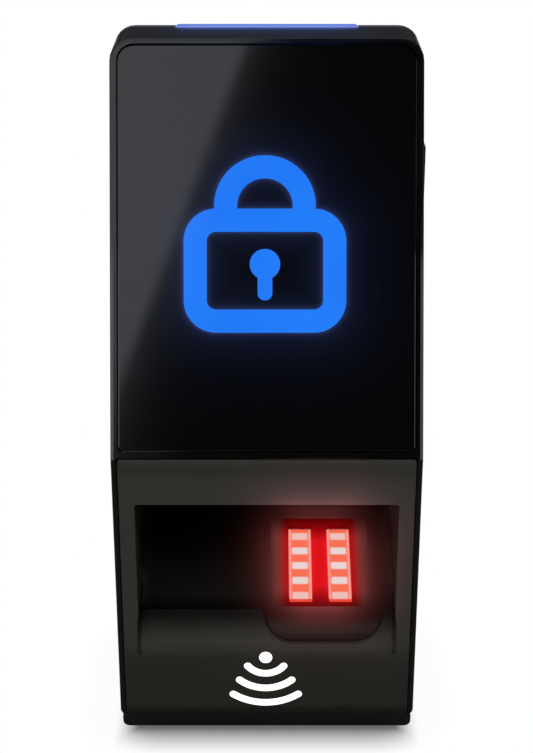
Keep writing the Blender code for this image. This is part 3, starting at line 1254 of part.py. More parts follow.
def make_port_cover(material, metal):
    """The rubber flap over the service socket, on a pin along its top edge."""
    cover = prism("port_cover", cover_outline(), front_view, COVER_DEPTH_START, COVER_DEPTH_END, material)
    start = front_view(PORT_PIVOT_X, PORT_PIVOT_HEIGHT, COVER_DEPTH_START + GAP)
    length = COVER_WIDTH - 2 * GAP
    stations = [(0, KNUCKLE_RADIUS), (length, KNUCKLE_RADIUS)]
    join(cover, turned("knuckle", stations, start, (0, -1, 0), sides=SCREW_SIDES))
    bore = PIN_RADIUS + GAP
    start = front_view(PORT_PIVOT_X, PORT_PIVOT_HEIGHT, COVER_DEPTH_START - GAP)
    stations = [(0, bore), (COVER_WIDTH + 2 * GAP, bore)]
    cut(cover, turned("knuckle_bore", stations, start, (0, -1, 0), sides=SCREW_SIDES))
    start = front_view(PORT_PIVOT_X, PORT_PIVOT_HEIGHT, COVER_DEPTH_START - GAP - PIN_SEAT)
    pin_length = COVER_WIDTH + 2 * (GAP + PIN_SEAT)
    stations = [(0, PIN_RADIUS), (pin_length, PIN_RADIUS)]
    turned("port_cover_pin", stations, start, (0, -1, 0), metal, sides=SCREW_SIDES)


def hang_on_axis(name, point, names):
    """Give moving pieces a parent empty on their joint's axis, without moving them."""
    axis = bpy.data.objects.new(name, None)
    axis.location = point
    bpy.context.scene.collection.objects.link(axis)
    bpy.context.view_layer.update()
    for piece_name in names:
        piece = bpy.data.objects[piece_name]
        piece.parent = axis
        piece.matrix_parent_inverse = axis.matrix_world.inverted()


def hang_pieces():
    fixed = {"wall_plate", "security_screw", "tamper_plunger", "port_cover"}
    terminal = [thing.name for thing in bpy.data.objects if thing.type == "MESH" and not thing.hide_render]
    terminal = [name for name in terminal if name not in fixed]
    hang_on_axis("security_screw_axis", top_view(0, SCREW_DEPTH, SECURITY_HEAD_TOP), ["security_screw"])
    hang_on_axis("terminal_axis", front_view(0, PIVOT_HEIGHT, PIVOT_DEPTH), terminal)
    hang_on_axis("tamper_axis", front_view(*TAMPER_CENTRE, TAMPER_BODY_BACK_DEPTH), ["tamper_plunger"])
    cover_middle = COVER_DEPTH_START + COVER_WIDTH / 2
    hang_on_axis("port_cover_axis", front_view(PORT_PIVOT_X, PORT_PIVOT_HEIGHT, cover_middle), ["port_cover"])


def build():
    clear_scene()
    gloss = finish("gloss_black_shell", GLOSS_BLACK, 0.25)
    matte = finish("matte_black_moulding", MATTE_BLACK, 0.55)
    guide = finish("infrared_black_guide", GUIDE_BLACK, 0.12)
    rubber = finish("black_rubber", RUBBER_BLACK, 0.8)
    zinc = finish("zinc_plated_steel", ZINC_GREY, 0.35, metallic=1.0)
    screw = finish("screw_steel", SCREW_GREY, 0.3, metallic=1.0)
    board = finish("board_green", BOARD_GREEN, 0.45)
    connector = finish("connector_green", CONNECTOR_GREEN, 0.5)
    tin = finish("tin_plate", TIN_GREY, 0.3, metallic=1.0)
    glass = finish("black_glass", PANEL_BLACK, 0.04)
    blue = finish("blue_light_guide", LAMP_BLUE, 0.3, glow=1.0)
    red = finish("red_lamps", LAMP_RED, 0.3, glow=1.0)
    clear = finish("prism_glass", PRISM_CLEAR, 0.02, clearness=1.0)

    make_wall_plate(zinc)
    make_security_screw(screw)
    make_rear_housing(matte)
    make_housing_seal(rubber)
    make_front_frame(gloss)
    make_front_glass(glass)
    make_glass_tape(rubber)
    make_display_panel(glass)
    make_display_board(board)
    make_lower_bezel(matte)
    make_finger_guide(guide)
    make_sensor(glass, red, clear, matte, board)
    make_antenna_board(board)
    make_light_bar(blue, board)
    make_main_board(board)
    make_rf_shield(tin)
    make_coin_cell(matte, tin)
    make_buzzer(matte)
    make_rj45_jack(tin)
    make_terminal_block(connector)
    make_usb_socket(tin)
    make_tamper_switch(matte, rubber)
    make_port_cover(rubber, screw)
    make_screws(screw)
    hang_pieces()


build()
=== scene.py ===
# %% [markdown]
# # A wall-mounted access reader
# This lesson dresses a imported model of an access control reader: a sloped slab of black glass
# over a matt lower moulding, with a recess for a finger and two rows of red lamps in it.
# The solids come from the imported frame and keep their shape. Each gets a finish worked out from
# what the real piece is made of, and the printed and lit marks are modelled on top of them. Some
# finishes also carry painted light and shade: glows round the lamps and the light bar, and shade in
# the recess and down the lower moulding. The shadow on the floor is painted too.

# %% Load the frame
import math

import bpy
from mathutils import Matrix, Vector


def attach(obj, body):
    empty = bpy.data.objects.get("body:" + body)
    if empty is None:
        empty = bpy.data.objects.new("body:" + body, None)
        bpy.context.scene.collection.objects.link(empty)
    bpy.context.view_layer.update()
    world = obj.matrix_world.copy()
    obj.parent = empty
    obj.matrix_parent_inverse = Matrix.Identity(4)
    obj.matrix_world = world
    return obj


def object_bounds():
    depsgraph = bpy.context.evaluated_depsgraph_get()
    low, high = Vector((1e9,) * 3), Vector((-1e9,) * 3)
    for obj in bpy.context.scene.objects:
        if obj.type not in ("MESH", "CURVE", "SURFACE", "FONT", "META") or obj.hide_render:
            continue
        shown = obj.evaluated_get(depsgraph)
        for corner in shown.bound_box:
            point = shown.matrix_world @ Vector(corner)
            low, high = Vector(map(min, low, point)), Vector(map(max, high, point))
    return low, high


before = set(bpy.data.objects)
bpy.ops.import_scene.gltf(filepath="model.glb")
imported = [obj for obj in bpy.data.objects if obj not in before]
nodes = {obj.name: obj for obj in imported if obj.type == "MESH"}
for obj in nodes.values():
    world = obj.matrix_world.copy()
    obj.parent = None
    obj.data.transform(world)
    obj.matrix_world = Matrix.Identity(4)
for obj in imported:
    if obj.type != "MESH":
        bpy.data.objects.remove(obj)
cad_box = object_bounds()

# %% [markdown]
# ## Sizes
# Everything is in metres, with +Z up and the front facing -Y. The front of the reader has three
# planes that the marks and patterns are laid out on: the glass, the apron below it and the ramp
# inside the recess. Each has an origin, a lean and its own flat directions, so a mark can be drawn
# flat and then turned into place.

# %% Planes of the front
MM = 0.001
TOP = 77.65 * MM
RIM_DEPTH = 29.5 * MM
KNEE_DEPTH = 62.0 * MM
KNEE_HEIGHT = -8.65 * MM
APRON_END_DEPTH = 60.0 * MM
APRON_END_HEIGHT = -71.35 * MM
RAMP_TOP = (22.6 * MM, -37.05 * MM)
RAMP_SLOPE = math.radians(20)

glass_lean = math.atan2(KNEE_DEPTH - RIM_DEPTH, TOP - KNEE_HEIGHT)
apron_lean = math.atan2(KNEE_DEPTH - APRON_END_DEPTH, KNEE_HEIGHT - APRON_END_HEIGHT)


def plane_matrix(depth, height, tilt, x=0.0):
    """Places flat work: its X stays level, its Y runs up the plane and its Z points out of it."""
    return Matrix.Translation((x, -depth, height)) @ Matrix.Rotation(tilt, 4, "X")


glass_plane = plane_matrix(RIM_DEPTH, TOP, math.pi / 2 - glass_lean)
apron_plane = plane_matrix(KNEE_DEPTH, KNEE_HEIGHT, math.pi / 2 + apron_lean)
ramp_plane = plane_matrix(*RAMP_TOP, RAMP_SLOPE)
print("glass leans %.1f degrees, apron %.1f" % (math.degrees(glass_lean), math.degrees(apron_lean)))

# %% [markdown]
# ## Camera
# The photograph was taken from straight in front and a little above, from about 0.4 m. The focal
# length and the pitch were fitted to the edges of the body, whose sides spread towards the knee
# because it is nearest the lens.

# %% Camera
IMAGE_SIZE = (533, 753)
FOCAL_PIXELS = 1728.5
CAMERA_DEPTH = 401.2 * MM
CAMERA_HEIGHT = 152.55 * MM
CAMERA_PITCH = math.radians(22.47)
CENTRE_COLUMN = 266.8
SENSOR_HEIGHT = 24.0

lens = bpy.data.cameras.new("photo_camera")
lens.sensor_fit = "VERTICAL"
lens.sensor_height = SENSOR_HEIGHT
lens.lens = FOCAL_PIXELS * SENSOR_HEIGHT / IMAGE_SIZE[1]
lens.shift_x = (IMAGE_SIZE[0] / 2 - CENTRE_COLUMN) / IMAGE_SIZE[1]
lens.clip_start = 0.01
camera = bpy.data.objects.new("photo_camera", lens)
camera.location = (0.0, -CAMERA_DEPTH, CAMERA_HEIGHT)
camera.rotation_euler = (math.pi / 2 - CAMERA_PITCH, 0.0, 0.0)
bpy.context.scene.collection.objects.link(camera)
bpy.context.scene.camera = camera
print("lens %.1f mm" % lens.lens)

# %% [markdown]
# ## Node helpers
# Colours are written as sRGB hex values, as they are read off a screen, and one function turns
# them to the linear values that the shader wants. A second function adds a node and sets it up.
# The rest are patterns made of several nodes, each drawn to a size in millimetres.


# %% Node helpers
def linear(hex_colour):
    """An sRGB hex colour as linear red, green, blue and alpha."""
    channels = [int(hex_colour[i:i + 2], 16) / 255 for i in (1, 3, 5)]
    return tuple(c / 12.92 if c <= 0.04045 else ((c + 0.055) / 1.055) ** 2.4 for c in channels) + (1.0,)


def add(tree, kind, *values, output=0, named=None, **settings):
    """Add a node with its settings, fill or link its inputs, and return one of its outputs."""
    made = tree.nodes.new("ShaderNode" + kind)
    for name, value in settings.items():
        setattr(made, name, value)
    for socket, value in [*enumerate(values), *(named or {}).items()]:
        if isinstance(value, bpy.types.NodeSocket):
            tree.links.new(value, made.inputs[socket])
        else:
            made.inputs[socket].default_value = value
    return made.outputs[output]


def new_material(name, **constants):
    """A material whose Principled shader has its constant sockets set by name."""
    material = bpy.data.materials.new(name)
    material.use_nodes = True
    shader = material.node_tree.nodes["Principled BSDF"]
    for socket, value in constants.items():
        shader.inputs[socket.replace("_", " ")].default_value = value
    return material, material.node_tree, shader


print("mid grey is", [round(c, 3) for c in linear("#808080")[:3]])


# %% Patterns
def on_plane(tree, matrix, stretch=1.0):
    """The position on a plane, in millimetres: x across, y up the plane, z out of it."""
    place, turn, _ = matrix.decompose()
    return add(tree, "Mapping", add(tree, "TexCoord", output="Object"), vector_type="TEXTURE", named={
        "Location": place, "Rotation": turn.to_euler(), "Scale": (MM, MM * stretch, MM)})


def drift(tree, patch_mm, low, high):
    """A number that drifts between two limits over patches of the given size."""
    noise = add(tree, "TexNoise", named={
        "Vector": add(tree, "TexCoord", output="Object"), "Scale": 1 / (patch_mm * MM), "Detail": 4.0})
    return add(tree, "MapRange", named={
        "Value": noise, "From Min": 0.3, "From Max": 0.7, "To Min": low, "To Max": high})


def drifting_colour(tree, patch_mm, dark, light):
    """A colour that drifts between two, as pigment and flow marks do in a moulding."""
    return add(tree, "Mix", data_type="RGBA", output=2, named={
        0: drift(tree, patch_mm, 0.0, 1.0), 6: linear(dark), 7: linear(light)})


def grain(tree, grain_mm, height_mm, strength):
    """A fine bump whose grains are as wide as given."""
    noise = add(tree, "TexNoise", named={
        "Vector": add(tree, "TexCoord", output="Object"), "Scale": 1 / (grain_mm * MM), "Detail": 3.0})
    return add(tree, "Bump", output="Normal", named={
        "Height": noise, "Strength": strength, "Distance": height_mm * MM})


def box_distance(tree, position, centre, half_size, radius):
    """Distance in millimetres to a rounded rectangle drawn on a plane, negative inside it."""
    moved = add(tree, "VectorMath", position, (*centre, 0.0), operation="SUBTRACT")
    folded = add(tree, "VectorMath", moved, operation="ABSOLUTE")
    inner = (half_size[0] - radius, half_size[1] - radius, 0.0)
    reach = add(tree, "VectorMath", folded, inner, operation="SUBTRACT")
    flat = add(tree, "VectorMath", reach, (1.0, 1.0, 0.0), operation="MULTIPLY")
    outside = add(tree, "VectorMath", flat, (0.0, 0.0, 0.0), operation="MAXIMUM")
    length = add(tree, "VectorMath", outside, output="Value", operation="LENGTH")
    across = add(tree, "SeparateXYZ", flat, output="X")
    along = add(tree, "SeparateXYZ", flat, output="Y")
    nearest_side = add(tree, "Math", across, along, operation="MAXIMUM")
    deepest = add(tree, "Math", nearest_side, 0.0, operation="MINIMUM")
    signed = add(tree, "Math", length, deepest, operation="ADD")
    return add(tree, "Math", signed, radius, operation="SUBTRACT")


def off_middle(tree, position):
    """Distance from the middle line of a plane to either side, in the unit of the position."""
    return add(tree, "Math", add(tree, "SeparateXYZ", position, output="X"), operation="ABSOLUTE")


def glow(tree, distance, reach_mm, strength):
    """Light that dies away from a shape: strength at its edge, a third of it after each reach."""
    outside = add(tree, "Math", distance, 0.0, operation="MAXIMUM")
    fall = add(tree, "Math", outside, -1.0 / reach_mm, operation="MULTIPLY")
    return add(tree, "Math", add(tree, "Math", fall, operation="EXPONENT"), strength, operation="MULTIPLY")


def lights_up(tree, shader, colour, *glows):
    """Paint the sum of some glows onto a shader as emitted light of one colour."""
    total = glows[0]
    for more in glows[1:]:
        total = add(tree, "Math", total, more, operation="ADD")
    tree.links.new(total, shader.inputs["Emission Strength"])
    shader.inputs["Emission Color"].default_value = linear(colour)


print("patterns ready, scaled from millimetres")

# %% [markdown]
# ## Moulded plastics
# The frame, the back and the lower moulding are injection moulded in a polycarbonate and ABS blend.
# The frame comes out of a polished tool, so it is nearly as glossy as the glass it holds. The back
# has a fine spark-eroded texture that scatters light and looks matt. A blue glow round the light bar
# along the top edge is painted onto both plastics as light.

# %% Moulded plastics
LIGHT_BAR_PLANE = plane_matrix(16.55 * MM, TOP, 0.0)
LIGHT_BAR_HALF = (20.3, 1.55)
SPILL_HALF = (18.8, 1.55)
WIDE_SPILL_HALF = (13.5, 1.55)


def painted_bar_glow(tree, shader):
    """A blue glow painted onto the plastic round the light bar as emitted light, widest at its middle."""
    position = on_plane(tree, LIGHT_BAR_PLANE)
    below = add(tree, "Math", add(tree, "SeparateXYZ", position, output="Z"), operation="ABSOLUTE")
    near, wide = [
        add(tree, "Math", box_distance(tree, position, (0.0, 0.0), half_size, 0.5), below, operation="ADD")
        for half_size in (SPILL_HALF, WIDE_SPILL_HALF)]
    # Painted glow: blue emission that fades away from the light bar.
    lights_up(tree, shader, "#4088FF", glow(tree, near, 0.9, 0.22), glow(tree, wide, 4.6, 0.09))


def moulding(name, dark, light, roughness, grain_mm, grain_height=0.006, specular=0.5):
    """Black moulded plastic: colour and gloss drift a little, with the tool's grain on it."""
    material, tree, shader = new_material(name, IOR=1.5, Specular_IOR_Level=specular)
    tree.links.new(drifting_colour(tree, 14.0, dark, light), shader.inputs["Base Color"])
    tree.links.new(drift(tree, 7.0, roughness - 0.03, roughness + 0.03), shader.inputs["Roughness"])
    tree.links.new(grain(tree, grain_mm, grain_height, 0.3), shader.inputs["Normal"])
    return material, tree, shader


shell_black, tree, shader = moulding("polished_pc_abs_black", "#050505", "#070707", 0.08, 0.5, 0.001)
painted_bar_glow(tree, shader)
back_black, tree, shader = moulding("textured_abs_back", "#202021", "#262628", 0.45, 0.3)
painted_bar_glow(tree, shader)
case_black, _, _ = moulding("fine_textured_abs", "#141414", "#181818", 0.5, 0.18)
print("moulded plastics:", shell_black.name, back_black.name, case_black.name)

# %% [markdown]
# ## The warm moulding and the glow of the lamps
# The lower moulding is a warm dark grey with a fine, even grain, drawn here about twice as coarse
# as real so that it shows. The red lamps are bright enough to flare over the plastic round the
# recess. That glow is written into the finishes as light that fades with distance from the lamps.

# %% Lower moulding
SENSOR_X = 12.5
WINDOW_CENTRE = (SENSOR_X, -18.38)
STRIP_OFFSET = 4.6
STRIP_HALF = (2.7, 11.6)
GLOW_CENTRE = (SENSOR_X, -19.0)
GLOW_HALF = (2.7, 9.8)
HAZE_CENTRE = (SENSOR_X, -19.9)
HAZE_HALF = (7.3, 10.1)
HAZE_RADIUS = 5.5
RAMP_STRETCH = 1.35
RAMP_CLEARANCE = 0.35
OFF_RAMP_WEIGHT = 2.0
FLARE_CENTRE = (11.85, -24.6)
FLARE_HALF = (7.1, 9.6)
FLARE_RADIUS = 3.0
FLARE_REACH = 3.1
ROUGHER_INSIDE = 0.6


def lamp_distance(tree):
    """Distance in millimetres from the block of lamps, measured in space."""
    flat = on_plane(tree, ramp_plane, RAMP_STRETCH)
    centre = (HAZE_CENTRE[0], HAZE_CENTRE[1] / RAMP_STRETCH)
    half_size = (HAZE_HALF[0], HAZE_HALF[1] / RAMP_STRETCH)
    to_block = box_distance(tree, flat, centre, half_size, HAZE_RADIUS)
    beside = add(tree, "Math", to_block, 0.0, operation="MAXIMUM")
    off_ramp = add(tree, "Math", add(tree, "SeparateXYZ", flat, output="Z"), operation="ABSOLUTE")
    past_clearance = add(tree, "Math", off_ramp, RAMP_CLEARANCE, operation="SUBTRACT")
    past_clearance = add(tree, "Math", past_clearance, 0.0, operation="MAXIMUM")
    out_of_ramp = add(tree, "Math", past_clearance, OFF_RAMP_WEIGHT, operation="MULTIPLY")
    squares = [add(tree, "Math", side, 2.0, operation="POWER") for side in (beside, out_of_ramp)]
    return add(tree, "Math", add(tree, "Math", *squares, operation="ADD"), operation="SQRT")


bezel_grey, tree, shader = moulding("textured_pc_abs_warm", "#33322D", "#373630", 0.5, 0.3, 0.012, 0.25)
on_face = on_plane(tree, apron_plane)
up_face = add(tree, "SeparateXYZ", on_face, output="Y")
out_of_face = add(tree, "SeparateXYZ", on_face, output="Z")
# Painted shade darkens the colour in the recess, down the apron, just under the knee and at the foot; painted
# light lifts the recess's side walls.
painted_recess_shade, painted_wall_light, painted_shade_down_apron, painted_shade_under_knee, painted_shade_at_foot, on_surface = [
    add(tree, "MapRange", interpolation_type="SMOOTHSTEP", named={
        "Value": value, "From Min": edges[0], "From Max": edges[1], "To Min": levels[0], "To Max": levels[1]})
    for value, edges, levels in (
        (out_of_face, (-5.0, 0.4), (0.1, 1.0)),
        (off_middle(tree, on_face), (28.6, 30.2), (0.0, 0.5)),
        (up_face, (-51.0, -45.0), (0.62, 1.0)),
        (up_face, (-5.0, 0.0), (1.0, 0.7)),
        (up_face, (-66.0, -61.5), (0.4, 1.0)),
        (out_of_face, (-1.4, -0.1), (0.3, 1.0)))]
painted_shade = add(tree, "Math", painted_recess_shade, painted_wall_light, operation="MAXIMUM")
for level in (painted_shade_down_apron, painted_shade_under_knee, painted_shade_at_foot):
    painted_shade = add(tree, "Math", painted_shade, level, operation="MULTIPLY")
pigment = shader.inputs["Base Color"].links[0].from_socket
tree.links.new(add(tree, "VectorMath", pigment, operation="SCALE", named={"Scale": painted_shade}),
               shader.inputs["Base Color"])
inside = add(tree, "Math", 1.0, on_surface, operation="SUBTRACT")
even_gloss = shader.inputs["Roughness"].links[0].from_socket
rougher = add(tree, "Math", inside, ROUGHER_INSIDE, even_gloss, operation="MULTIPLY_ADD")
tree.links.new(rougher, shader.inputs["Roughness"])
flare = glow(tree, box_distance(tree, on_face, FLARE_CENTRE, FLARE_HALF, FLARE_RADIUS), FLARE_REACH, 0.8)
lights_up(tree, shader, "#FF9FAE", add(tree, "Math", flare, on_surface, operation="MULTIPLY"))
print("lamp block centre on the ramp:", WINDOW_CENTRE)

# %% [markdown]
# ## The finger guide
# The tray behind the moulding is polished and made of a black that lets infrared through. It is
# nearly a mirror at low angles. Near the sensor a red glow from the lamps is painted on it as light,
# its front lip carries painted shade and its cheeks painted light.

# %% Finger guide
def beside_lamps(name, dark, light, roughness):
    """A black piece by the lamps: a painted red glow, painted shade at its lip, painted light at its cheeks.
    """
    material, tree, shader = moulding(name, dark, light, roughness, 0.4, 0.002, 0.35)
    on_face = on_plane(tree, apron_plane)
    # Painted shade darkens the front lip; painted light brightens the cheeks.
    painted_lip_shade = add(tree, "MapRange", named={
        "Value": add(tree, "SeparateXYZ", on_face, output="Z"), "From Min": -10.5, "From Max": -7.0,
        "To Min": 1.0, "To Max": 0.2})
    painted_cheek_light = add(tree, "MapRange", named={
        "Value": off_middle(tree, on_face), "From Min": 26.5, "From Max": 30.0, "To Min": 1.0, "To Max": 2.5})
    deep = add(tree, "Math", painted_lip_shade, painted_cheek_light, operation="MULTIPLY")
    pigment = shader.inputs["Base Color"].links[0].from_socket
    tree.links.new(add(tree, "VectorMath", pigment, operation="SCALE", named={"Scale": deep}),
                   shader.inputs["Base Color"])
    lights_up(tree, shader, "#FF7C78", glow(tree, lamp_distance(tree), 2.85, 0.42))
    return material


# The guide, the sensor's case and the window's gasket all share this painted glow, shade and light.
guide_black = beside_lamps("polished_infrared_black", "#121211", "#151513", 0.36)
sensor_black = beside_lamps("sensor_case_abs", "#121212", "#161616", 0.5)
gasket_black = beside_lamps("silicone_gasket", "#121211", "#151513", 0.5)
print("guide finish:", guide_black.name)

# %% [markdown]
# ## Glass
# The front is a slab of clear glass with black printed on its back, so it looks like a deep black
# gloss. The sign on the display shines through it and leaves a soft halo in the slab, drawn here as
# light that falls off with distance from the sign's strokes. The sign is a padlock.

# %% Front glass with the halo of the sign
SIGN_X = -0.4
SIGN_STROKE = 5.0
BODY_CENTRE = (SIGN_X, -50.0)
BODY_HALF = (17.6, 13.4)
BODY_RADIUS = 7.0
SHACKLE_CENTRE = (SIGN_X, -36.6)
SHACKLE_HALF = (11.0, 11.5)
SHACKLE_RADIUS = 10.9
SHACKLE_FOOT = BODY_CENTRE[1] + BODY_HALF[1] - SIGN_STROKE / 2
KEYHOLE_CENTRE = (SIGN_X, -48.6)
KEYHOLE_HALF = 3.3
KEY_SLOT_DROP = 4.4
KEY_SLOT_HALF = (1.6, 3.4)
HALO_REACH = 4.6


def stroke_distance(tree, position, centre, half_size, radius):
    """Distance to the middle line of a rounded outline, less half the stroke."""
    inset = (half_size[0] - SIGN_STROKE / 2, half_size[1] - SIGN_STROKE / 2)
    edge = box_distance(tree, position, centre, inset, radius - SIGN_STROKE / 2)
    off_line = add(tree, "Math", edge, operation="ABSOLUTE")
    return add(tree, "Math", off_line, SIGN_STROKE / 2, operation="SUBTRACT")


def black_backed_glass():
    """Deep black glass that glows softly round the strokes of the sign."""
    material, tree, shader = new_material("black_backed_glass", IOR=1.52)
    tree.links.new(drifting_colour(tree, 30.0, "#040404", "#050505"), shader.inputs["Base Color"])
    tree.links.new(drift(tree, 14.0, 0.03, 0.05), shader.inputs["Roughness"])
    position = on_plane(tree, glass_plane)
    body = stroke_distance(tree, position, BODY_CENTRE, BODY_HALF, BODY_RADIUS)
    ring = stroke_distance(tree, position, SHACKLE_CENTRE, SHACKLE_HALF, SHACKLE_RADIUS)
    height = add(tree, "SeparateXYZ", position, output="Y")
    below = add(tree, "Math", SHACKLE_FOOT, height, operation="SUBTRACT")
    shackle = add(tree, "Math", ring, below, operation="MAXIMUM")
    nearest = add(tree, "Math", body, shackle, operation="MINIMUM")
    lights_up(tree, shader, "#7292FF", glow(tree, nearest, 0.45, 0.10),
              glow(tree, nearest, HALO_REACH, 0.022), glow(tree, body, 14.0, 0.002))
    return material


glass_black = black_backed_glass()
print("sign is %.1f mm wide" % (2 * BODY_HALF[0]))

# %% [markdown]
# ## The sensor
# Under the sensor's window lie two strips of five red lamps. The camera sees the lamps as white-hot
# spots in a bright red bar. The window is a thin plate of glass, and the deep red between and beside
# the strips is a glow painted on it as light.

# %% Sensor glass, lamps and prism
LAMP_PITCH = 4.64
LAMP_COUNT = 5
LAMP_HALF = (1.78, 1.0)
STRIP_END_FADE = 1.0
LIT_END_CENTRE = -19.45
LIT_END_HALF = (2.7, 11.45)
BETWEEN_HALF_HEIGHT = 7.0
WINDOW_RIM_HALF = (9.9, 17.0)


def lamp_strip(name, centre_x):
    """A strip of lamps: white-hot rounded spots on a glowing bar that reddens at its ends."""
    material, tree, shader = new_material(name, Roughness=0.35, Emission_Strength=1.0)
    shader.inputs["Base Color"].default_value = linear("#200808")
    position = on_plane(tree, ramp_plane)
    across = add(tree, "Math", add(tree, "SeparateXYZ", position, output="X"), centre_x, operation="SUBTRACT")
    along = add(tree, "Math", add(tree, "SeparateXYZ", position, output="Y"), WINDOW_CENTRE[1],
                operation="SUBTRACT")
    in_cell = add(tree, "Math", along, LAMP_PITCH / 2, operation="PINGPONG")
    cell = add(tree, "CombineXYZ", across, in_cell)
    spot = box_distance(tree, cell, (0.0, 0.0), LAMP_HALF, 0.35)
    from_middle = add(tree, "Math", along, operation="ABSOLUTE")
    heat = add(tree, "MapRange", interpolation_type="SMOOTHSTEP", named={
        "Value": spot, "From Min": 0.35, "From Max": -0.2, "To Min": 0.0, "To Max": 1.0})
    margin = add(tree, "MapRange", interpolation_type="SMOOTHSTEP", named={
        "Value": add(tree, "Math", across, operation="ABSOLUTE"), "From Min": STRIP_HALF[0] - 0.9,
        "From Max": STRIP_HALF[0] - 0.3, "To Min": 0.0, "To Max": 1.0})
    end = add(tree, "MapRange", interpolation_type="SMOOTHSTEP", named={
        "Value": from_middle, "From Min": STRIP_HALF[1] - STRIP_END_FADE, "From Max": STRIP_HALF[1],
        "To Min": 0.0, "To Max": 0.4})
    outermost = add(tree, "MapRange", named={
        "Value": from_middle, "From Min": 6.5, "From Max": 8.5, "To Min": 1.0, "To Max": 0.72})
    heat = add(tree, "Math", heat, outermost, operation="MULTIPLY")
    colour = add(tree, "Mix", data_type="RGBA", output=2,
                 named={0: margin, 6: linear("#F87256"), 7: linear("#FF9F96")})
    colour = add(tree, "Mix", data_type="RGBA", output=2, named={0: heat, 6: colour, 7: linear("#E6D8D5")})
    colour = add(tree, "Mix", data_type="RGBA", output=2, named={0: end, 6: colour, 7: linear("#F04030")})
    tree.links.new(colour, shader.inputs["Emission Color"])
    return material


strip_left = lamp_strip("red_lamps_left", SENSOR_X - STRIP_OFFSET)
strip_right = lamp_strip("red_lamps_right", SENSOR_X + STRIP_OFFSET)
print("lamps:", LAMP_COUNT, "to a strip,", LAMP_PITCH, "mm apart")


# %% Sensor window and prism
def window_glass():
    """Thin glass over the lamps: clear above the strips, with a deep red glow painted round them."""
    material, tree, shader = new_material("sensor_window_glass", IOR=1.5)
    position = on_plane(tree, ramp_plane)
    glows = []
    strips = []
    ends = []
    for side in (-1, 1):
        centre_x = SENSOR_X + side * STRIP_OFFSET
        strips.append(box_distance(tree, position, (centre_x, WINDOW_CENTRE[1]), STRIP_HALF, 0.4))
        lit = box_distance(tree, position, (centre_x, GLOW_CENTRE[1]), GLOW_HALF, 2.6)
        glows.append(glow(tree, lit, 2.4, 0.5))
        ends.append(box_distance(tree, position, (centre_x, LIT_END_CENTRE), LIT_END_HALF, 0.4))
    between_half = (STRIP_OFFSET - GLOW_HALF[0], BETWEEN_HALF_HEIGHT)
    between = box_distance(tree, position, GLOW_CENTRE, between_half, 1.0)
    glows.append(glow(tree, between, 1.6, 0.25))
    nearest = add(tree, "Math", *strips, operation="MINIMUM")
    opaque = add(tree, "MapRange", named={
        "Value": nearest, "From Min": -0.12, "From Max": 0.12, "To Min": 0.02, "To Max": 1.0})
    tree.links.new(opaque, shader.inputs["Alpha"])
    lights_up(tree, shader, "#FF141E", *glows)
    # Painted glow on the window: deep red round the strips, paler at its rim, red at the strips' lit ends.
    painted_rim_glow = add(tree, "MapRange", interpolation_type="SMOOTHSTEP", named={
        "Value": box_distance(tree, position, WINDOW_CENTRE, WINDOW_RIM_HALF, 1.0), "From Min": -2.4,
        "From Max": 1.0, "To Min": 0.0, "To Max": 1.0})
    colour = add(tree, "Mix", data_type="RGBA", output=2,
                 named={0: painted_rim_glow, 6: linear("#FF141E"), 7: linear("#FF8078")})
    painted_end_glow = add(tree, "MapRange", named={
        "Value": add(tree, "Math", *ends, operation="MINIMUM"), "From Min": 0.12, "From Max": -0.2,
        "To Min": 0.0, "To Max": 0.9})
    colour = add(tree, "Mix", data_type="RGBA", output=2,
                 named={0: painted_end_glow, 6: colour, 7: linear("#F8523C")})
    tree.links.new(colour, shader.inputs["Emission Color"])
    summed = shader.inputs["Emission Strength"].links[0].from_socket
    brightest = add(tree, "Math", summed, painted_end_glow, operation="MAXIMUM")
    tree.links.new(brightest, shader.inputs["Emission Strength"])
    tree.links.new(drifting_colour(tree, 5.0, "#140505", "#1A0606"), shader.inputs["Base Color"])
    tree.links.new(drift(tree, 8.0, 0.08, 0.14), shader.inputs["Roughness"])
    return material


def clear_prism():
    """Optical glass: clear, with the faintest warm tint."""
    material, tree, shader = new_material("optical_glass_clear", IOR=1.52, Transmission_Weight=0.9)
    tree.links.new(drifting_colour(tree, 6.0, "#F2DCDC", "#FFFFFF"), shader.inputs["Base Color"])
    tree.links.new(drift(tree, 5.0, 0.04, 0.06), shader.inputs["Roughness"])
    return material


sensor_glass = window_glass()
prism_glass = clear_prism()
print("sensor finishes:", sensor_glass.name, prism_glass.name)

# %% [markdown]
# ## Light bar, rubber and metals
# The light bar is clear acrylic lit from below, brightest along its middle. The seal, the tape and
# the port cover are black rubber. The wall plate is pressed steel with a zinc plating that shows
# faint crystals, the screws are blackened steel and the sockets have tin-plated shields.


# %% Light bar, rubber and metals
def lit_guide():
    """Acrylic lit from below: blue light, palest along the middle of the bar."""
    material, tree, shader = new_material("lit_acrylic_blue", IOR=1.49, Emission_Strength=0.72)
    middle = add(tree, "MapRange", named={
        "Value": off_middle(tree, on_plane(tree, LIGHT_BAR_PLANE)), "From Min": LIGHT_BAR_HALF[0] - 4.0,
        "From Max": LIGHT_BAR_HALF[0], "To Min": 1.0, "To Max": 0.72})
    colour = add(tree, "Mix", data_type="RGBA", output=2,
                 named={0: middle, 6: linear("#3A50B8"), 7: linear("#7490EC")})
    tree.links.new(colour, shader.inputs["Emission Color"])
    tree.links.new(drifting_colour(tree, 4.0, "#101A50", "#14205C"), shader.inputs["Base Color"])
    tree.links.new(drift(tree, 3.0, 0.26, 0.34), shader.inputs["Roughness"])
    return material


